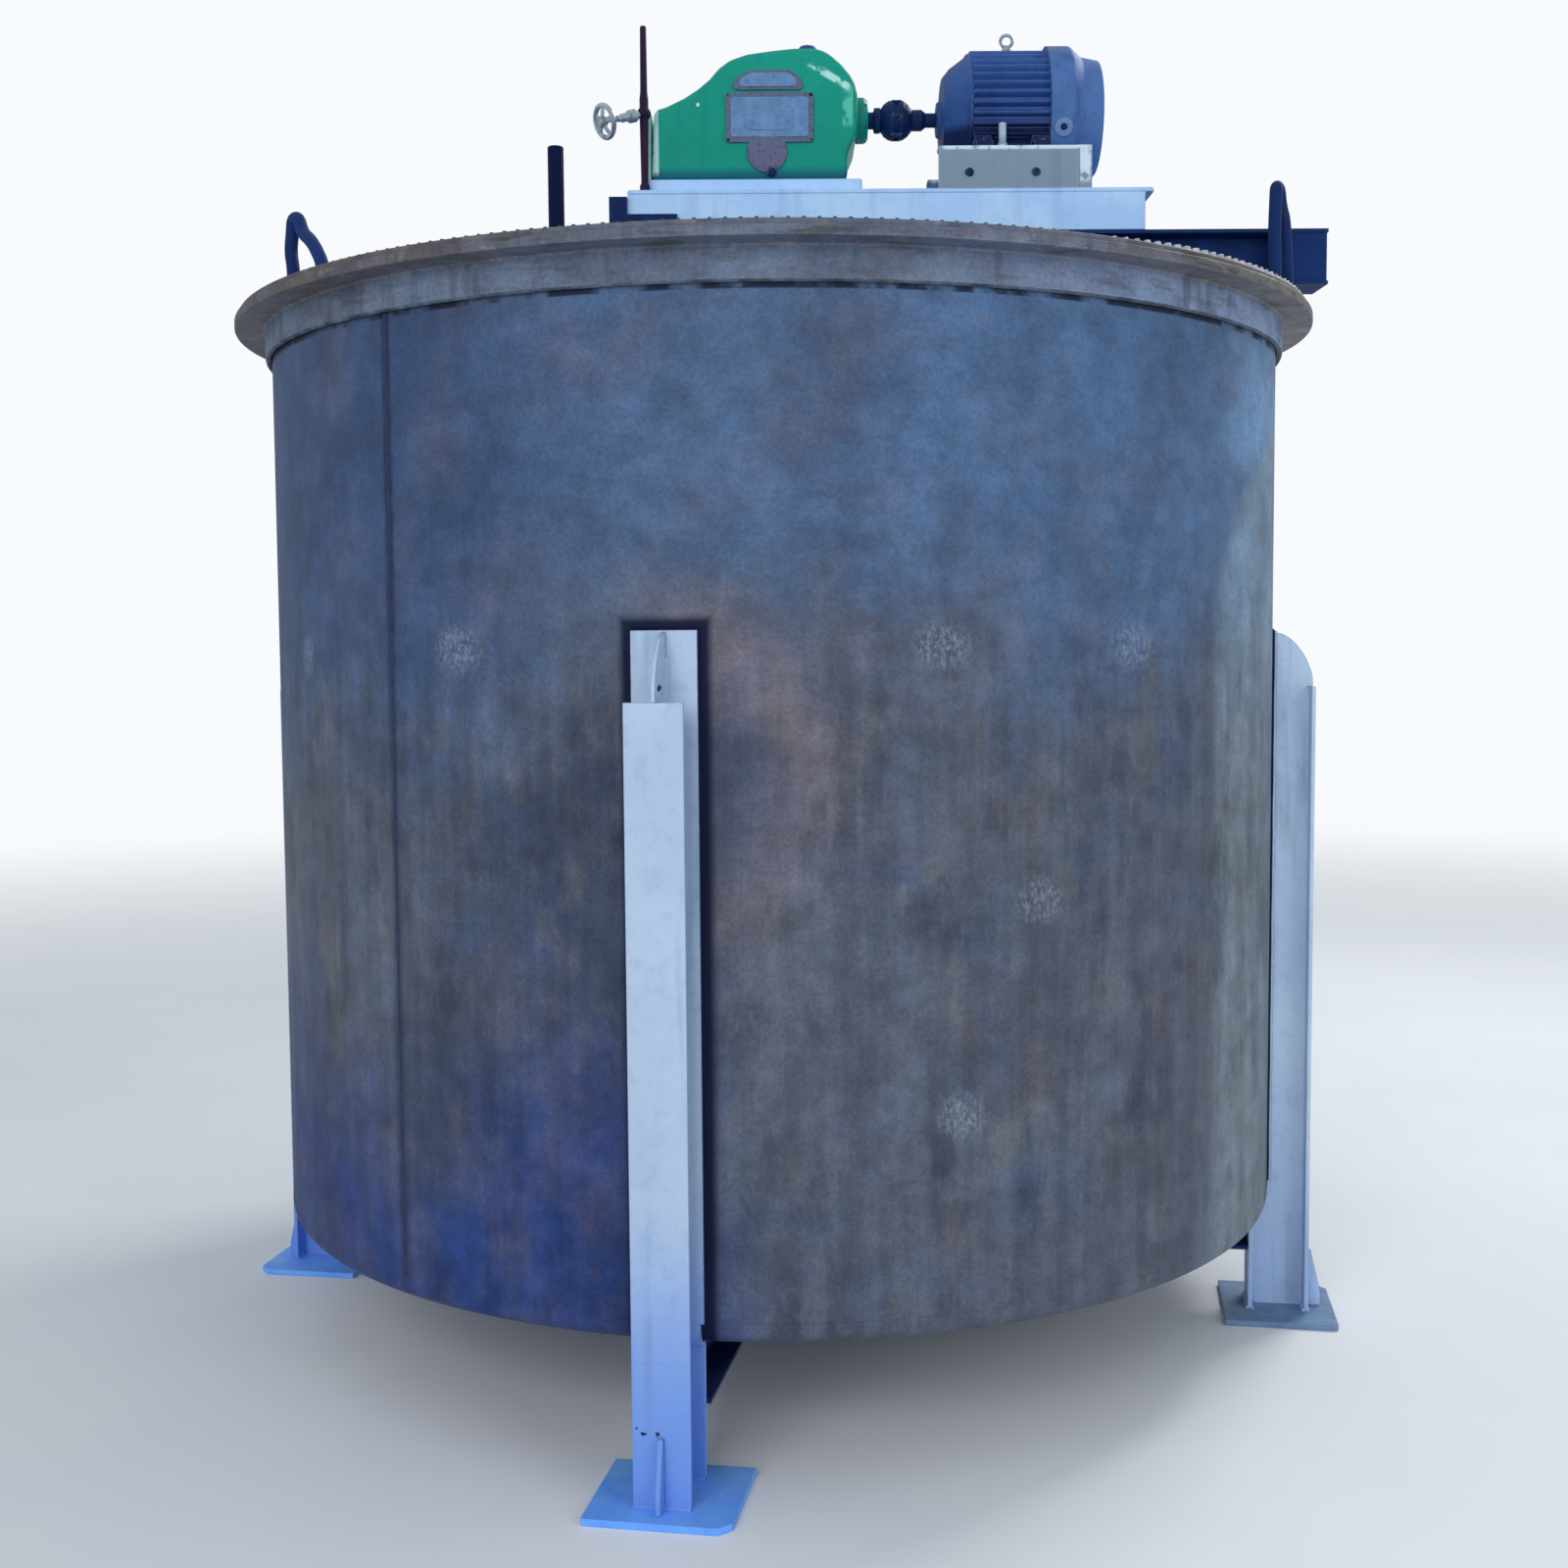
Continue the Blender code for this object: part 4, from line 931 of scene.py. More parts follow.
sole = rounded([(-FOOT_HALF, -FOOT_NEAR), (-FOOT_HALF, -FOOT_FAR), (FOOT_HALF - FOOT_CLIP, -FOOT_FAR),
                (FOOT_HALF, -FOOT_FAR + FOOT_CLIP), (FOOT_HALF, -FOOT_NEAR)],
               [0.004, 0.008, 0.012, 0.012, 0.004])
for side, azimuth in zip(SIDES, LEGS):
    # The right leg takes the copies that paint the different light on that side.
    leg_paint, foot_paint = (LEG_OTHER_LIGHT, FOOT_OTHER_LIGHT) if side == "right" else (LEG, FOOT)
    make("beam_leg_" + side, around(leg_shells(), azimuth), leg_paint, ["leg_" + side])
    make("leg_welds_" + side, around(leg_welds(), azimuth), leg_paint)
    make("pad_welds_" + side, around(pad_welds(), azimuth), INK)
    make("leg_chips_" + side, around(chips(), azimuth), IRON)
    make("foot_" + side, around([prism(sole, 2, 0.0, FOOT_TOP)], azimuth), foot_paint, ["foot_plate_" + side],
         bevel=0.002)
print("one leg:", made_pieces["beam_leg_front"], "faces")


# %% [markdown]
# The beams under the tank and the bridge are rolled sections: parallel flanges, a thin web and a
# round root where they meet. A straight sweep makes each beam. Two plates box in the right end of
# each bridge beam.

# %% Beams and bearers
BEAM = 0.130
BOXED, BOX_OUT, BOX_HALF, BOX_IN = 0.130, 0.060, 0.004, 0.0092     # plates that close a bridge beam's end
under = h_beam(BEAM, BEAM, 0.009, 0.007) + [0, TANK_BOTTOM - CLEAR - BEAM / 2]
reach = LEG_INNER - CLEAR
for name, axis, ends in (("long", 1, (-reach, reach)), ("right", 0, (BEAM / 2 + CLEAR, reach)),
                         ("left", 0, (-reach, -BEAM / 2 - CLEAR))):
    make("floor_beam_" + name, around([prism(under, axis, *ends)], LEGS[0]), NAVY, ["under_beam_" + name])

for side in ("left", "right"):
    low, high = span("cross_bearer_" + side)
    section = h_beam(high[2] - low[2], high[0] - low[0], 0.008, 0.007, 0.008) + ((low + high) / 2)[[0, 2]]
    make("bearer_" + side, [prism(section, 1, low[1], high[1])], NAVY, ["cross_bearer_" + side])

for side, sign in FRONT_REAR:
    low, high = span("bridge_beam_" + side)
    middle = (low + high) / 2
    section = h_beam(high[2] - low[2], high[1] - low[1], 0.009, 0.007) + middle[1:]
    make("bridge_" + side, [prism(section, 0, low[0], high[0])], NAVY, ["bridge_beam_" + side])
    shells = [block((high[0] - BOXED, y - BOX_HALF, low[2] + BOX_IN),
                    (high[0] - 0.003, y + BOX_HALF, high[2] - BOX_IN))
              for y in (middle[1] + sign * BOX_OUT, middle[1] - sign * BOX_OUT)]
    make("bridge_box_" + side, shells, NAVY, bevel=0.001)
print("bridge beams", round(high[0] - low[0], 3), "m long")


# %% [markdown]
# Three bent bars serve as lifting lugs. Their centre line is a few straight runs, and cutting the
# corners of such a line three times over gives the smooth bend of a hot-bent bar. A round section
# follows it, and a bead closes each foot on the cover.

# %% Lifting lugs
LUG_R, LUG_BAR = 1.240, 0.0135
LUGS = (("left", -50, 0.130, 0.130, 0.48), ("right", 62, 0.120, 0.215, 0.68),
        ("rear", 186, 0.130, 0.130, 0.48))                    # side, azimuth, width, height, slope


def eased(path, times=3):
    """Cut the corners of an open path: each run keeps its points at a quarter and at three quarters."""
    for _ in range(times):
        cut = np.stack([0.75 * path[:-1] + 0.25 * path[1:], 0.25 * path[:-1] + 0.75 * path[1:]], 1)
        path = np.concatenate([path[:1], cut.reshape(-1, path.shape[1]), path[-1:]])
    return path


def lug(width, tall, slope):
    """A round bar from foot to foot, bent over to one side, with a bead round each foot."""
    w, crown, foot = width / 2, tall - LUG_BAR, COVER_TOP + CLEAR
    runs = [(-w, 0), (-w, crown * 0.2), (-w - 0.010, crown * 0.5), (-w, crown - 0.022),
            (-w + 0.004, crown + 0.004), (-w + 0.030, crown + 0.004), (-w + 0.046, crown - 0.030),
            (w * slope * 0.75, tall * slope), (w - 0.006, 0.022), (w, 0.008), (w, 0)]
    line = eased(np.array(runs))
    path = join(line[:, 0], -LUG_R, foot + line[:, 1])
    a = full_turn(20)
    bar = join(LUG_BAR * np.cos(a), LUG_BAR * np.sin(a))
    shells = [swept(bar, path, (0, 1, 0), np.cross(unit(np.gradient(path, axis=0)), (0, 1, 0)))]
    a = full_turn(24)
    for x in (-w, w):
        ring = join(x + LUG_BAR * np.cos(a), -LUG_R + LUG_BAR * np.sin(a), foot)
        shells.append(bead(ring, join(0.7 * np.cos(a), 0.7 * np.sin(a), 0.7), 0.010, 0.004, closed=True))
    return shells


for side, azimuth, *sizes in LUGS:
    make("lug_" + side, around(lug(*sizes), azimuth), NAVY, ["lifting_lug_" + side])
print("lugs at azimuths", [azimuth for _, azimuth, *_ in LUGS])


# %% [markdown]
# The drive stands on a frame of two channels with a plate over them. The gearbox gets a thick sole
# plate, and the motor two angle rails, whose height brings both shafts on one line. Channels and
# angles are rolled too, so their outlines have a round root and eased tips.

# %% Base frame, sole plate and rails
CHANNEL_FACE, CHANNEL_TOE, CHANNEL_PLATE = 0.180, 0.134, 0.0075
RAIL_WIDE, RAIL_PLATE, RAIL_NOTCH = 0.045, 0.008, 0.030
stud = rounded([(0, 0), (0.012, 0), (0.012, 0.008), (0.009, 0.010), (0.009, 0.056), (0, 0.057)],
               [0, 0.001, 0.001, 0.001, 0.002, 0], 3)
for side, sign in FRONT_REAR:
    low, high = span("base_channel_" + side)
    z0, z1, t = low[2], high[2], CHANNEL_PLATE
    face, toe, inner = sign * CHANNEL_FACE, sign * CHANNEL_TOE, sign * (CHANNEL_FACE - t)
    section = [(face, z0), (toe, z0), (toe, z0 + t), (inner, z0 + t), (inner, z1 - t), (toe, z1 - t),
               (toe, z1), (face, z1)]
    section = rounded(section, [0.002, 0.002, 0.003, 0.008, 0.008, 0.003, 0.002, 0.002])
    make("channel_" + side, [prism(section, 0, low[0], high[0])], BASE, ["base_channel_" + side])

    low, high = span("motor_rail_" + side)
    z0, z1, t, cut = low[2], high[2], RAIL_PLATE, high[0] - RAIL_NOTCH
    inner, toe = face - sign * t, face - sign * RAIL_WIDE
    section = [(face, z0), (inner, z0), (inner, z1 - t), (toe, z1 - t), (toe, z1), (face, z1)]
    section = rounded(section, [0.001, 0.001, 0.008, 0.003, 0.001, 0.002])
    wide, thin, back = (sorted(pair) for pair in ((face, toe), (face, inner), (face - sign * t / 2, inner)))
    shells = [prism(section, 0, low[0], cut - 0.0035),
              block((cut - 0.004, wide[0], z1 - t), (high[0], wide[1], z1), 0.001),
              block((cut - 0.004, back[0], z0), (cut + 0.001, back[1], z1 - t), 0.0005),
              block((cut, thin[0], z0), (high[0], thin[1], z1 - t))]
    make("rail_" + side, shells, RAIL, ["motor_rail_" + side], bevel=0.0008)
    heads = [(x, face, z0 + 0.036) for x in (0.464, 0.621)]
    make("rail_screws_" + side, [bolts(heads, (0, sign, 0), 0.010)], IRON)
    make("rail_stud_" + side, [turned(stud, 20, (0.544, sign * 0.161, z1))], RAIL)

make("drive_plate", [block(*span("base_top_plate"), 0.010, 2, 5)], BASE, ["base_top_plate"], bevel=0.002)
make("sole_plate", [block(*span("gearbox_sole_plate"), 0.008, 2, 5)], BASE, ["gearbox_sole_plate"],
     bevel=0.003)
print("drive plate top at", round(span("base_top_plate")[1][2], 4), "m")


# %% [markdown]
# The gearbox housing is a casting: its outline is that of the gear train inside, and its edges are
# rounded for the mould. Seen as a surface, it is that outline carried from side to side, drawn in
# along its own normals near each side, as radius * (1 - cos), while the side moves as radius * sin.

# %% Gearbox housing
SHAFT_Z = 2.908
(GEAR_LEFT, _, GEAR_LOW), (_, GEAR_HALF, _) = span("gearbox_housing")
GEAR_RIGHT = 0.203


def outward(outline):
    """Unit normals of a closed outline, from the difference of each point's neighbours."""
    after = np.roll(outline, -1, 0)
    run = after - np.roll(outline, 1, 0)
    turning = (outline[:, 0] * after[:, 1] - after[:, 0] * outline[:, 1]).sum()
    return unit(join(run[:, 1], -run[:, 0])) * np.sign(turning)


def casting(outline, half, radius, steps=6):
    """Carry an outline from -half to half along Y, drawn in by radius * (1 - cos f) as f nears a side.

    A last ring, a little further in, keeps each side flat up to its rounding."""
    f = np.linspace(math.pi / 2, 0, steps + 1)
    inset = np.concatenate([[radius + 0.004], radius * (1 - np.cos(f))])
    y = half - np.concatenate([[0], radius * (1 - np.sin(f))])
    inset, y = np.concatenate([inset, inset[::-1]]), np.concatenate([-y, y[::-1]])
    ring = outline - outward(outline) * inset[:, None, None]
    return join(ring[..., 0], y[:, None], ring[..., 1]).reshape(-1, 3), tube(len(y), len(outline))


shape = [(GEAR_LEFT, GEAR_LOW), (0.178, GEAR_LOW), (0.178, 2.800), (0.188, 2.818), (GEAR_RIGHT, 2.852),
         (GEAR_RIGHT, 2.950), (0.189, 2.978), (0.168, 3.003), (0.142, 3.026), (0.114, 3.044), (0.050, 3.044),
         (0.000, 3.039), (-0.060, 3.031), (-0.100, 3.018), (-0.127, 2.999), (-0.150, 2.973),
         (-0.178, 2.950), (-0.212, 2.929), (-0.257, 2.908), (-0.283, 2.902)]
shape = rounded(shape, [0.021, 0.021] + [0.08] * 17 + [0.021], 6)
make("gear_housing", [casting(shape, GEAR_HALF, 0.014)], GREEN, ["gearbox_housing"])
print("housing", made_pieces["gear_housing"], "faces")


# %% [markdown]
# Each side of the housing carries a plate, an arched cover and a round boss, with a second, paler
# layer let into the first two. The end cover is a thin plate with six screws. The round pieces on
# the gearbox and the motor are turned in their CAD node's box, so one function seats them all.

# %% Gearbox covers, cap and breather
END = math.inf


def seated(node, corners, turn, steps, along_x=False, ease=4):
    """Turn a profile upright in a node's box, or along X about the shafts' line.

    A height of END reaches the far side of the box."""
    low, high = span(node)
    length = high[0] - low[0] if along_x else high[2] - low[2]
    corners = np.where(np.isinf(corners), length, corners)
    centre = (low[0], 0, SHAFT_Z) if along_x else (*(low + high)[:2] / 2, low[2])
    return turned(rounded(corners, turn, ease), steps, centre, X_AXIS if along_x else Z_AXIS)


low, high = span("gearbox_end_cover")
make("end_cover", [block(low, high, 0.012, 0, 5)], MINT, ["gearbox_end_cover"], bevel=0.003)
heads = [(low[0], y, z) for y in (low[1] + 0.018, 0, high[1] - 0.018)
         for z in (low[2] + 0.020, high[2] - 0.020)]
make("end_cover_screws", [bolts(heads, (-1, 0, 0), 0.009)], BOLT)

panel = oblong((-0.112, 2.822), (0.097, 2.938), 0.008, 5)
inner_panel = oblong((-0.100, 2.834), (0.085, 2.927), 0.006)
raised = oblong((-0.064, 2.850), (0.046, 2.912), 0.010)
arch = rounded([(-0.100, 2.944), (0.076, 2.944), (0.066, 2.972), (0.044, 2.990), (-0.056, 2.990),
                (-0.086, 2.972)], 0.010)
inner_arch = rounded([(-0.084, 2.951), (0.062, 2.951), (0.054, 2.970), (0.038, 2.983), (-0.050, 2.983),
                      (-0.074, 2.970)], 0.008)
boss = rounded([(0, 0), (0.048, 0), (0.048, 0.0052), (0.036, 0.008), (0, 0.008)], [0, 0.001, 0.002, 0.002, 0])
for side, sign in FRONT_REAR:
    face, facing = sign * (GEAR_HALF + CLEAR), (0, sign, 0)
    shells = [prism(outline, 1, *sorted((face, face + sign * 0.006))) for outline in (panel, arch)]
    shells.append(turned(boss, 48, (-0.014, face, 2.800), facing))
    nodes = ["gearbox_side_plate"] if side == "front" else []
    make("side_covers_" + side, shells, PLATE_EDGE, nodes, bevel=0.0012)
    shells = [prism(outline, 1, *sorted((face + sign * start, face + sign * end)))
              for outline, start, end in ((inner_panel, 0.0062, 0.0085), (raised, 0.0087, 0.0105),
                                          (inner_arch, 0.0062, 0.0085))]
    make("side_panels_" + side, shells, PLATE, bevel=0.0008)
    front = face + sign * 0.006
    heads = [(x, front, z) for x in (-0.106, 0.091) for z in (2.828, 2.932)]
    plug = (-0.004, front, 2.752)
    make("side_screws_" + side, [bolts(heads, facing, 0.004), bolts(plug, facing, 0.011)], IRON)
    glass = (-0.178, sign * GEAR_HALF, 2.911)
    sight = turned([(0, 0), (0.0045, 0), (0.0045, 0.002), (0, 0.003)], 16, glass, facing)
    make("oil_sight_" + side, [sight], MINT)

cap = seated("gearbox_bearing_cap", [(0, 0), (0.054, 0), (0.054, 0.018), (0.046, 0.0287), (0.0208, 0.0287),
                                     (0.0208, 0.005), (0, 0.005)],
             [0, 0.001, 0.003, 0.003, 0.001, 0.001, 0], 64, True)
make("bearing_cap", [cap], GREEN, ["gearbox_bearing_cap"])
spokes = full_turn(6) + math.radians(30)
cap_face = span("gearbox_bearing_cap")[0][0] + 0.0195
heads = join(cap_face, 0.048 * np.cos(spokes), SHAFT_Z + 0.048 * np.sin(spokes))
make("bearing_cap_screws", [bolts(heads, X_AXIS, 0.006)], IRON)
vent = seated("gearbox_breather", [(0, 0), (0.015, 0), (0.015, 0.014), (0.024, 0.018), (0.024, 0.034),
                                   (0.018, END), (0, END)], [0, 0.001, 0.002, 0.003, 0.004, 0.004, 0], 40)
make("breather", [vent], BLUE, ["gearbox_breather"])
column = seated("output_pedestal", [(0, 0), (0.085, 0), (0.085, 0.022), (0.043, 0.026), (0.043, END),
                                    (0, END)], [0, 0.002, 0.003, 0.012, 0.002, 0], 64)
make("pedestal", [column], GREEN, ["output_pedestal"])
print("gearbox pieces done")


# %% [markdown]
# The coupling joins the two shafts: two iron hubs with a rubber star between them, drawn together by
# screws. Everything on this line turns with the body drive_line, so each profile is turned about the
# shaft's axis, and the screws show that it turns.

# %% Shafts and coupling
def on_shaft(node, inside, turn, steps):
    """Turn a profile about the shafts' line: its ends come from the node, its heights are places in X."""
    low, high = span(node)
    corners = [(0, low[0]), (inside[0], low[0]), *inside[1:-1], (inside[-1], high[0]), (0, high[0])]
    return turned(rounded(corners, [0, *turn, 0], 3), steps, (0, 0, SHAFT_Z), X_AXIS)


spokes = full_turn(6)
studs = join(0.290, 0.045 * np.cos(spokes), SHAFT_Z + 0.045 * np.sin(spokes))
stud = turned([(0, 0), (0.0045, 0), (0.0045, 0.024), (0, 0.024)], 10)
shaft = on_shaft("input_shaft", [0.020, (0.020, 0.246), (0.030, 0.248), 0.030],
                 [0.001, 0.002, 0.003, 0.001], 48)
hubs = on_shaft("coupling", [0.026, (0.038, 0.272), (0.046, 0.284), (0.046, 0.296), (0.040, 0.297),
                             (0.040, 0.307), (0.046, 0.308), (0.046, 0.318), (0.038, 0.330), 0.026],
                [0.002, 0.004, 0.004, 0.001, 0.001, 0.001, 0.001, 0.004, 0.004, 0.002], 64)
stub = on_shaft("motor_shaft", [0.025, (0.025, 0.364), (0.017, 0.374), 0.017],
                [0.002, 0.003, 0.002, 0.001], 48)
make("gear_shaft", [shaft], IRON, ["input_shaft"], body="drive_line")
make("coupling_hubs", [hubs, copies(stud, studs, X_AXIS)], IRON, ["coupling"], body="drive_line")
make("motor_stub", [stub], IRON, ["motor_shaft"], body="drive_line")
print("drive line done")


# %% [markdown]
# The motor is a finned frame between an end shield and a fan cowl. The fins carry heat off, so they
# run along the frame in the air from the fan. In section the frame is one closed curve whose radius
# swings between root and tip: a raised cosine, sharpened by a power, gives each fin its taper.

# %% Motor
FRAME_LOW, FRAME_HIGH = 0.478, 0.660
FINS, FIN_ROOT, FIN_TIP = 40, 0.140, 0.158
COWL_R, WASHER_X, WASHER_Z = 0.168, 0.690, 2.848
angle = full_turn(FINS * 16)
pulse = np.clip(1.25 * (0.5 + 0.5 * np.cos(FINS * angle)) - 0.12, 0, 1) ** 0.8
radius = FIN_ROOT + (FIN_TIP - FIN_ROOT) * pulse
shells = [prism(join(radius * np.cos(angle), SHAFT_Z + radius * np.sin(angle)), 0, FRAME_LOW, FRAME_HIGH)]
rail_top = span("motor_rail_front")[1][2] + CLEAR
drop = rail_top - SHAFT_Z
foot = np.array([(0.098, -0.060), (0.136, -0.070), (0.142, drop + 0.014), (0.176, drop + 0.014),
                 (0.176, drop), (0.120, drop), (0.092, -0.092)])
for side, sign in FRONT_REAR:
    outline = rounded(foot * [sign, 1] + [0, SHAFT_Z], [0.002, 0.006, 0.010, 0.003, 0.001, 0.001, 0.002])
    shells += [prism(outline, 0, x, x + 0.040) for x in (FRAME_LOW + 0.002, FRAME_HIGH - 0.042)]
    heads = [(x, sign * 0.160, rail_top + 0.014) for x in (FRAME_LOW + 0.022, FRAME_HIGH - 0.022)]
    # Their dark iron is partly painted shade, for the shadow under the motor.
    make("motor_foot_screws_" + side, [bolts(heads, Z_AXIS, 0.012)], IRON)
make("finned_frame", shells, BLUE, ["motor_frame"], crisp=50.0)

shield = seated("motor_end_shield", [(0, 0.032), (0.0178, 0.032), (0.0178, 0), (0.040, 0), (0.046, 0.010),
                                     (0.096, 0.012), (0.118, 0.030), (0.142, 0.064), (0.152, 0.070),
                                     (0.152, END), (0, END)],
                [0, 0.001, 0.002, 0.003, 0.004, 0.010, 0.015, 0.012, 0.006, 0.002, 0], 96, True)
make("end_shield", [shield], BLUE, ["motor_end_shield"])
low, high = span("motor_fan_cowl")
length = high[0] - low[0]
grille = [(0.112 - 0.016 * k, length - (0.004 if k % 2 else 0.0)) for k in range(7)]
cowl = seated("motor_fan_cowl", [(0, 0), (COWL_R, 0), (COWL_R, 0.056), (0.143, 0.084), (0.134, length),
                                 *grille, (0, length)],
              [0, 0.002, 0.016, 0.016, 0.006] + [0.001] * 7 + [0], 96, True, 6)
make("fan_cowl", [cowl], COWL, ["motor_fan_cowl"])
down = WASHER_Z - SHAFT_Z
spots = np.array([(WASHER_X, sign * math.sqrt(COWL_R ** 2 - down ** 2), WASHER_Z) for sign in (-1, 1)])
axes = (spots - [0, 0, SHAFT_Z]) * [0, 1, 1] / COWL_R
washer = turned([(0, 0), (0.021, 0), (0.021, 0.003), (0.010, 0.004), (0.009, 0.002), (0, 0.002)], 32)
make("cowl_washers", [copies(washer, spots, axes)], PALE_BLUE)
hole = turned([(0, 0), (0.0085, 0), (0.0085, 0.0032), (0, 0.0032)], 20)
make("cowl_holes", [copies(hole, spots, axes)], IRON)
low, high = span("motor_terminal_box")
lid = oblong(low[[0, 2]], high[[0, 2]], 0.010, 5)
middle = (low + high)[[0, 2]] / 2
neck = (lid - middle) * 0.93 + middle
shells = [prism(neck, 1, low[1] - 0.004, high[1] - 0.010), prism(lid, 1, high[1] - 0.0098, high[1])]
make("terminal_box", shells, BLUE, ["motor_terminal_box"], bevel=0.0015)
heads = [(x, high[1], z) for x in (low[0] + 0.012, high[0] - 0.012)
         for z in (low[2] + 0.012, high[2] - 0.012)]
make("terminal_screws", [bolts(heads, (0, 1, 0), 0.005)], BOLT)
print("finned frame", made_pieces["finned_frame"], "faces")


# %% [markdown]
# The small pipes at the left end are turned shapes: the standpipe with the ball that its side valve
# is screwed into, the valve, which points down and away from it, and the stub on the cover. The
# handwheel is its own body, a rim and a hub joined by five spokes. Three hidden or tiny CAD nodes keep
# their own meshes and only get a finish.

# %% Pipes, valve and handwheel
VALVE_Z, TEE_R = 2.881, 0.0165
VALVE_AXIS = np.array([-0.7595475, -0.5723601, -0.3090170])
low, high = span("standpipe")
VALVE = (*(low + high)[:2] / 2, VALVE_Z)
arc = np.radians(np.linspace(-50, 50, 11))
tee = join(TEE_R * np.cos(arc), VALVE_Z - low[2] + TEE_R * np.sin(arc))
pipe = seated("standpipe", [(0, 0), (0.012, 0), (0.012, 0.010), (0.0085, 0.020), *tee, (0.0105, 0.214),
                            (0.0085, 0.230), (0.0075, END), (0, END)],
              [0, 0.001, 0.002, 0.004] + [0] * 11 + [0.0008, 0.002, 0.004, 0], 32)
make("pipe", [pipe], MAROON, ["standpipe"])
body = rounded([(0, 0.0168), (0.009, 0.0168), (0.009, 0.024), (0.015, 0.027), (0.015, 0.044), (0.010, 0.047),
                (0.010, 0.066), (0.0075, 0.068), (0.0075, 0.080), (0.0048, 0.080), (0.0048, 0.036),
                (0, 0.036)],
               [0, 0.001, 0.001, 0.002, 0.002, 0.001, 0.001, 0.001, 0.001, 0.0005, 0.0005, 0])
make("valve", [turned(body, 32, VALVE, VALVE_AXIS)], ZINC, ["valve_body"])


def handwheel_shells():
    """Stem and hub, a round rim, and five spokes dished from the hub out to the rim."""
    stem = rounded([(0, 0.040), (0.0045, 0.040), (0.0045, 0.110), (0.011, 0.112), (0.012, 0.128),
                    (0.009, 0.131), (0, 0.131)], [0, 0.001, 0.001, 0.002, 0.003, 0.001, 0])
    t = full_turn(12)
    wheel_rim = join(0.0360 + 0.0060 * np.cos(t), 0.115 + 0.006 * np.sin(t))
    shells = [turned(stem, 32, VALVE, VALVE_AXIS), turned(wheel_rim, 56, VALVE, VALVE_AXIS)]
    side, other, axis = frame_of(VALVE_AXIS)
    out = np.linspace(0.008, 0.034, 6)[:, None]
    for a in full_turn(5):
        spoke = math.cos(a) * side + math.sin(a) * other
        path = np.array(VALVE) + out * spoke + (0.121 - 0.006 * (out / 0.034) ** 2) * axis
        shells.append(swept(join(0.0070 * np.cos(t), 0.0024 * np.sin(t)), path, np.cross(axis, spoke), axis))
    return shells


make("handwheel", handwheel_shells(), ZINC, ["valve_handwheel"], body="handwheel")
blank = seated("vent_stub", [(0, 0), (0.024, 0), (0.024, 0.010), (0.017, 0.014), (0.017, END), (0, END)],
               [0, 0.001, 0.003, 0.003, 0.003, 0], 40)
make("stub", [blank], INK, ["vent_stub"])
for node, finish in (("inner_vessel", VESSEL), ("motor_lifting_eye", ZINC), ("base_clip", NAVY)):
    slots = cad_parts[node].data.materials
    slots.clear()
    slots.append(finish[0])
print("pipes and handwheel done")


# %% [markdown]
# The camera stands where the photographer stood: 4.6 m in front of the tank's axis at eye height,
# looking slightly down. Its place and turn were fitted to the outlines of the rim, the tank's bottom,
# the legs and the drive.

# %% Camera
CAMERA_AT = (0.0, -4.6175, 1.6083)
PITCH, YAW, ROLL = np.radians((-4.07, 0.20, -0.41))
LENS, SENSOR = 42.27, 36.0


def put(thing, side, up, back, at):
    """Link an object into the scene, turned so that its own axes are side, up and back."""
    matrix = np.eye(4)
    matrix[:3] = join(side, up, back, at)
    thing.matrix_world = Matrix(matrix.tolist())
    bpy.context.scene.collection.objects.link(thing)


ahead = np.array([math.sin(YAW) * math.cos(PITCH), math.cos(YAW) * math.cos(PITCH), math.sin(PITCH)])
level = np.array([math.cos(YAW), -math.sin(YAW), 0.0])
above = np.cross(level, ahead)
camera = bpy.data.objects.new("Camera", bpy.data.cameras.new("Camera"))
camera.data.lens, camera.data.sensor_width = LENS, SENSOR
put(camera, math.cos(ROLL) * level + math.sin(ROLL) * above,
    -math.sin(ROLL) * level + math.cos(ROLL) * above, -ahead, CAMERA_AT)
bpy.context.scene.camera = camera
print("camera at", CAMERA_AT)


# %% [markdown]
# A plain pale floor and soft lamps show the finishes. The floor fades out far from the tank, so that
# it meets the pale surroundings without a line.

# %% Floor, surroundings and lamps
def floor_finish():
    """Pale matt floor with a faint cloud, clear beyond 14 m."""
    made, shader, place = new_finish("Floor")
    cloud = mottle(place, 0.8, 0.3, 0.7)
    feed(shader["Base Color"], layered((0.93, 0.94, 0.95), (cloud, (0.91, 0.92, 0.94))))
    shader["Roughness"].default_value = 0.8
    feed(shader["Alpha"], fade(add("VectorMath", "Value", {0: place}, operation="LENGTH"), 14.0, 3.5))
    return made


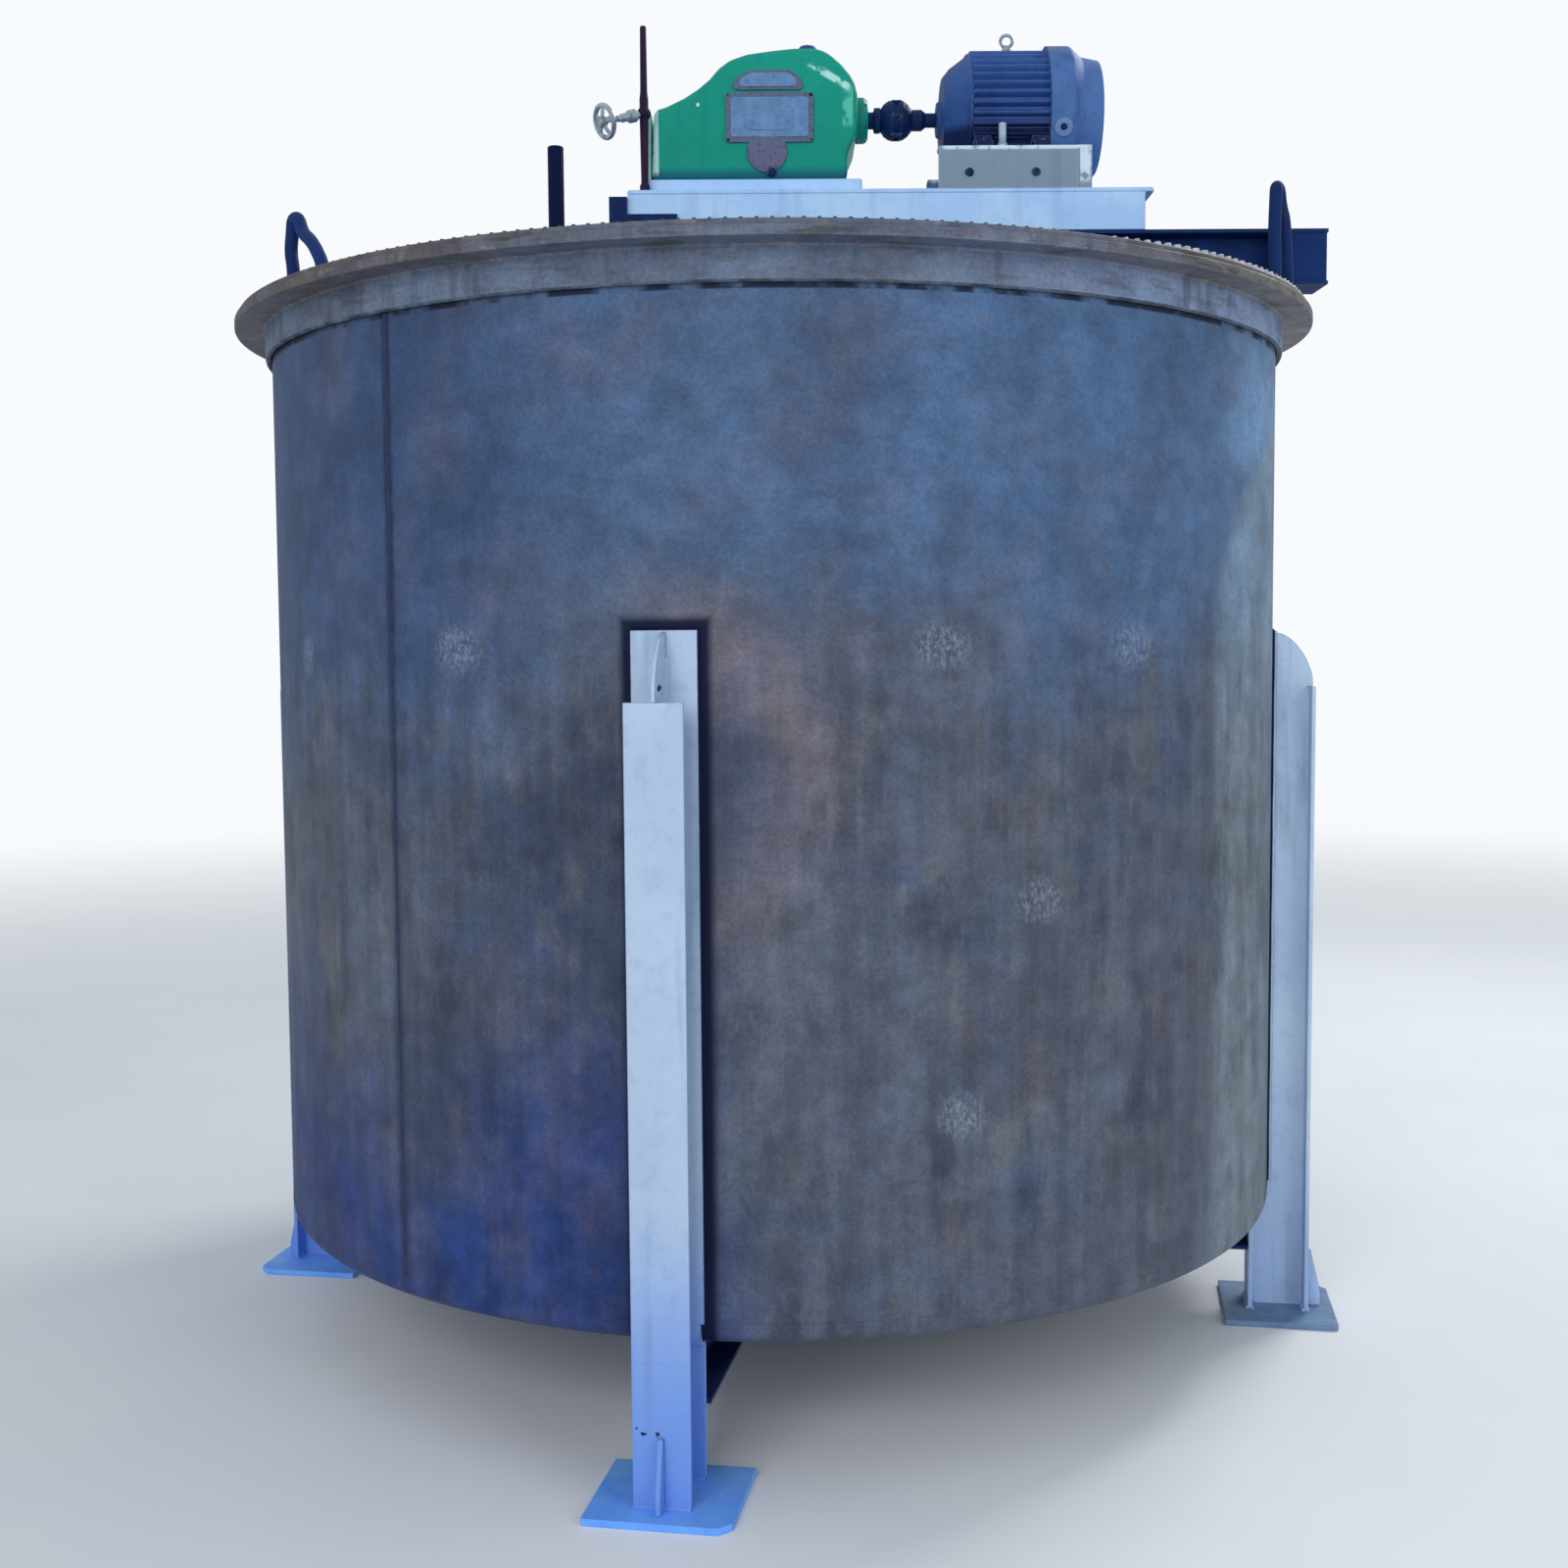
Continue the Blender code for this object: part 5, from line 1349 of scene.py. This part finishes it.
rings, angle = np.linspace(0.0, 15.0, 16)[:, None], full_turn(60)
points = join(rings * np.cos(angle), rings * np.sin(angle), 0.0).reshape(-1, 3)
mesh = bpy.data.meshes.new("Floor")
mesh.from_pydata(points.tolist(), [], grid(16, 60, False, True)[:, ::-1].tolist())
mesh.materials.append(floor_finish())
floor = bpy.data.objects.new("Floor", mesh)
bpy.context.scene.collection.objects.link(floor)

world = bpy.data.worlds.new("Pale surroundings")
world.use_nodes = True
nodes, links = world.node_tree.nodes, world.node_tree.links
backdrop = nodes["Background"]
backdrop.inputs["Color"].default_value = (0.94, 0.96, 0.98, 1)
ambient = nodes.new("ShaderNodeBackground")
ambient.inputs["Color"].default_value = (0.84, 0.92, 1.0, 1)
ambient.inputs["Strength"].default_value = 0.55
both = nodes.new("ShaderNodeMixShader")
links.new(nodes.new("ShaderNodeLightPath").outputs["Is Camera Ray"], both.inputs["Fac"])
links.new(ambient.outputs[0], both.inputs[1])
links.new(backdrop.outputs[0], both.inputs[2])
links.new(both.outputs[0], nodes["World Output"].inputs["Surface"])
bpy.context.scene.world = world
bpy.context.scene.view_settings.view_transform = "Standard"


def lamp(name, at, towards, size, power, tint, glossy):
    """A square area lamp at a point, facing another, with or without its own reflection."""
    data = bpy.data.lights.new(name, "AREA")
    data.size, data.energy, data.color = size, power, tint
    made = bpy.data.objects.new(name, data)
    made.visible_glossy = glossy
    put(made, *frame_of(np.subtract(at, towards)), at)


LAMPS = (("Key", (-2.5, -7.5, 3.6), (0, 0, 1.4), 4.0, 235, (1.0, 0.98, 0.96), False),
         ("Right front", (5.0, -6.5, 3.0), (0, 0, 1.4), 4.0, 105, (0.96, 0.98, 1.0), False),
         ("Right rear", (4.2, 3.6, 6.2), (0.2, 0, 2.0), 2.4, 250, (1.0, 0.99, 0.96), True))
for values in LAMPS:
    lamp(*values)
print("lamps", len(LAMPS))


# %% [markdown]
# At the end the script counts the pieces and their faces. The dressed tank must not outgrow the
# imported one.

# %% Pieces and faces
print(len(made_pieces), "pieces,", sum(made_pieces.values()), "faces")
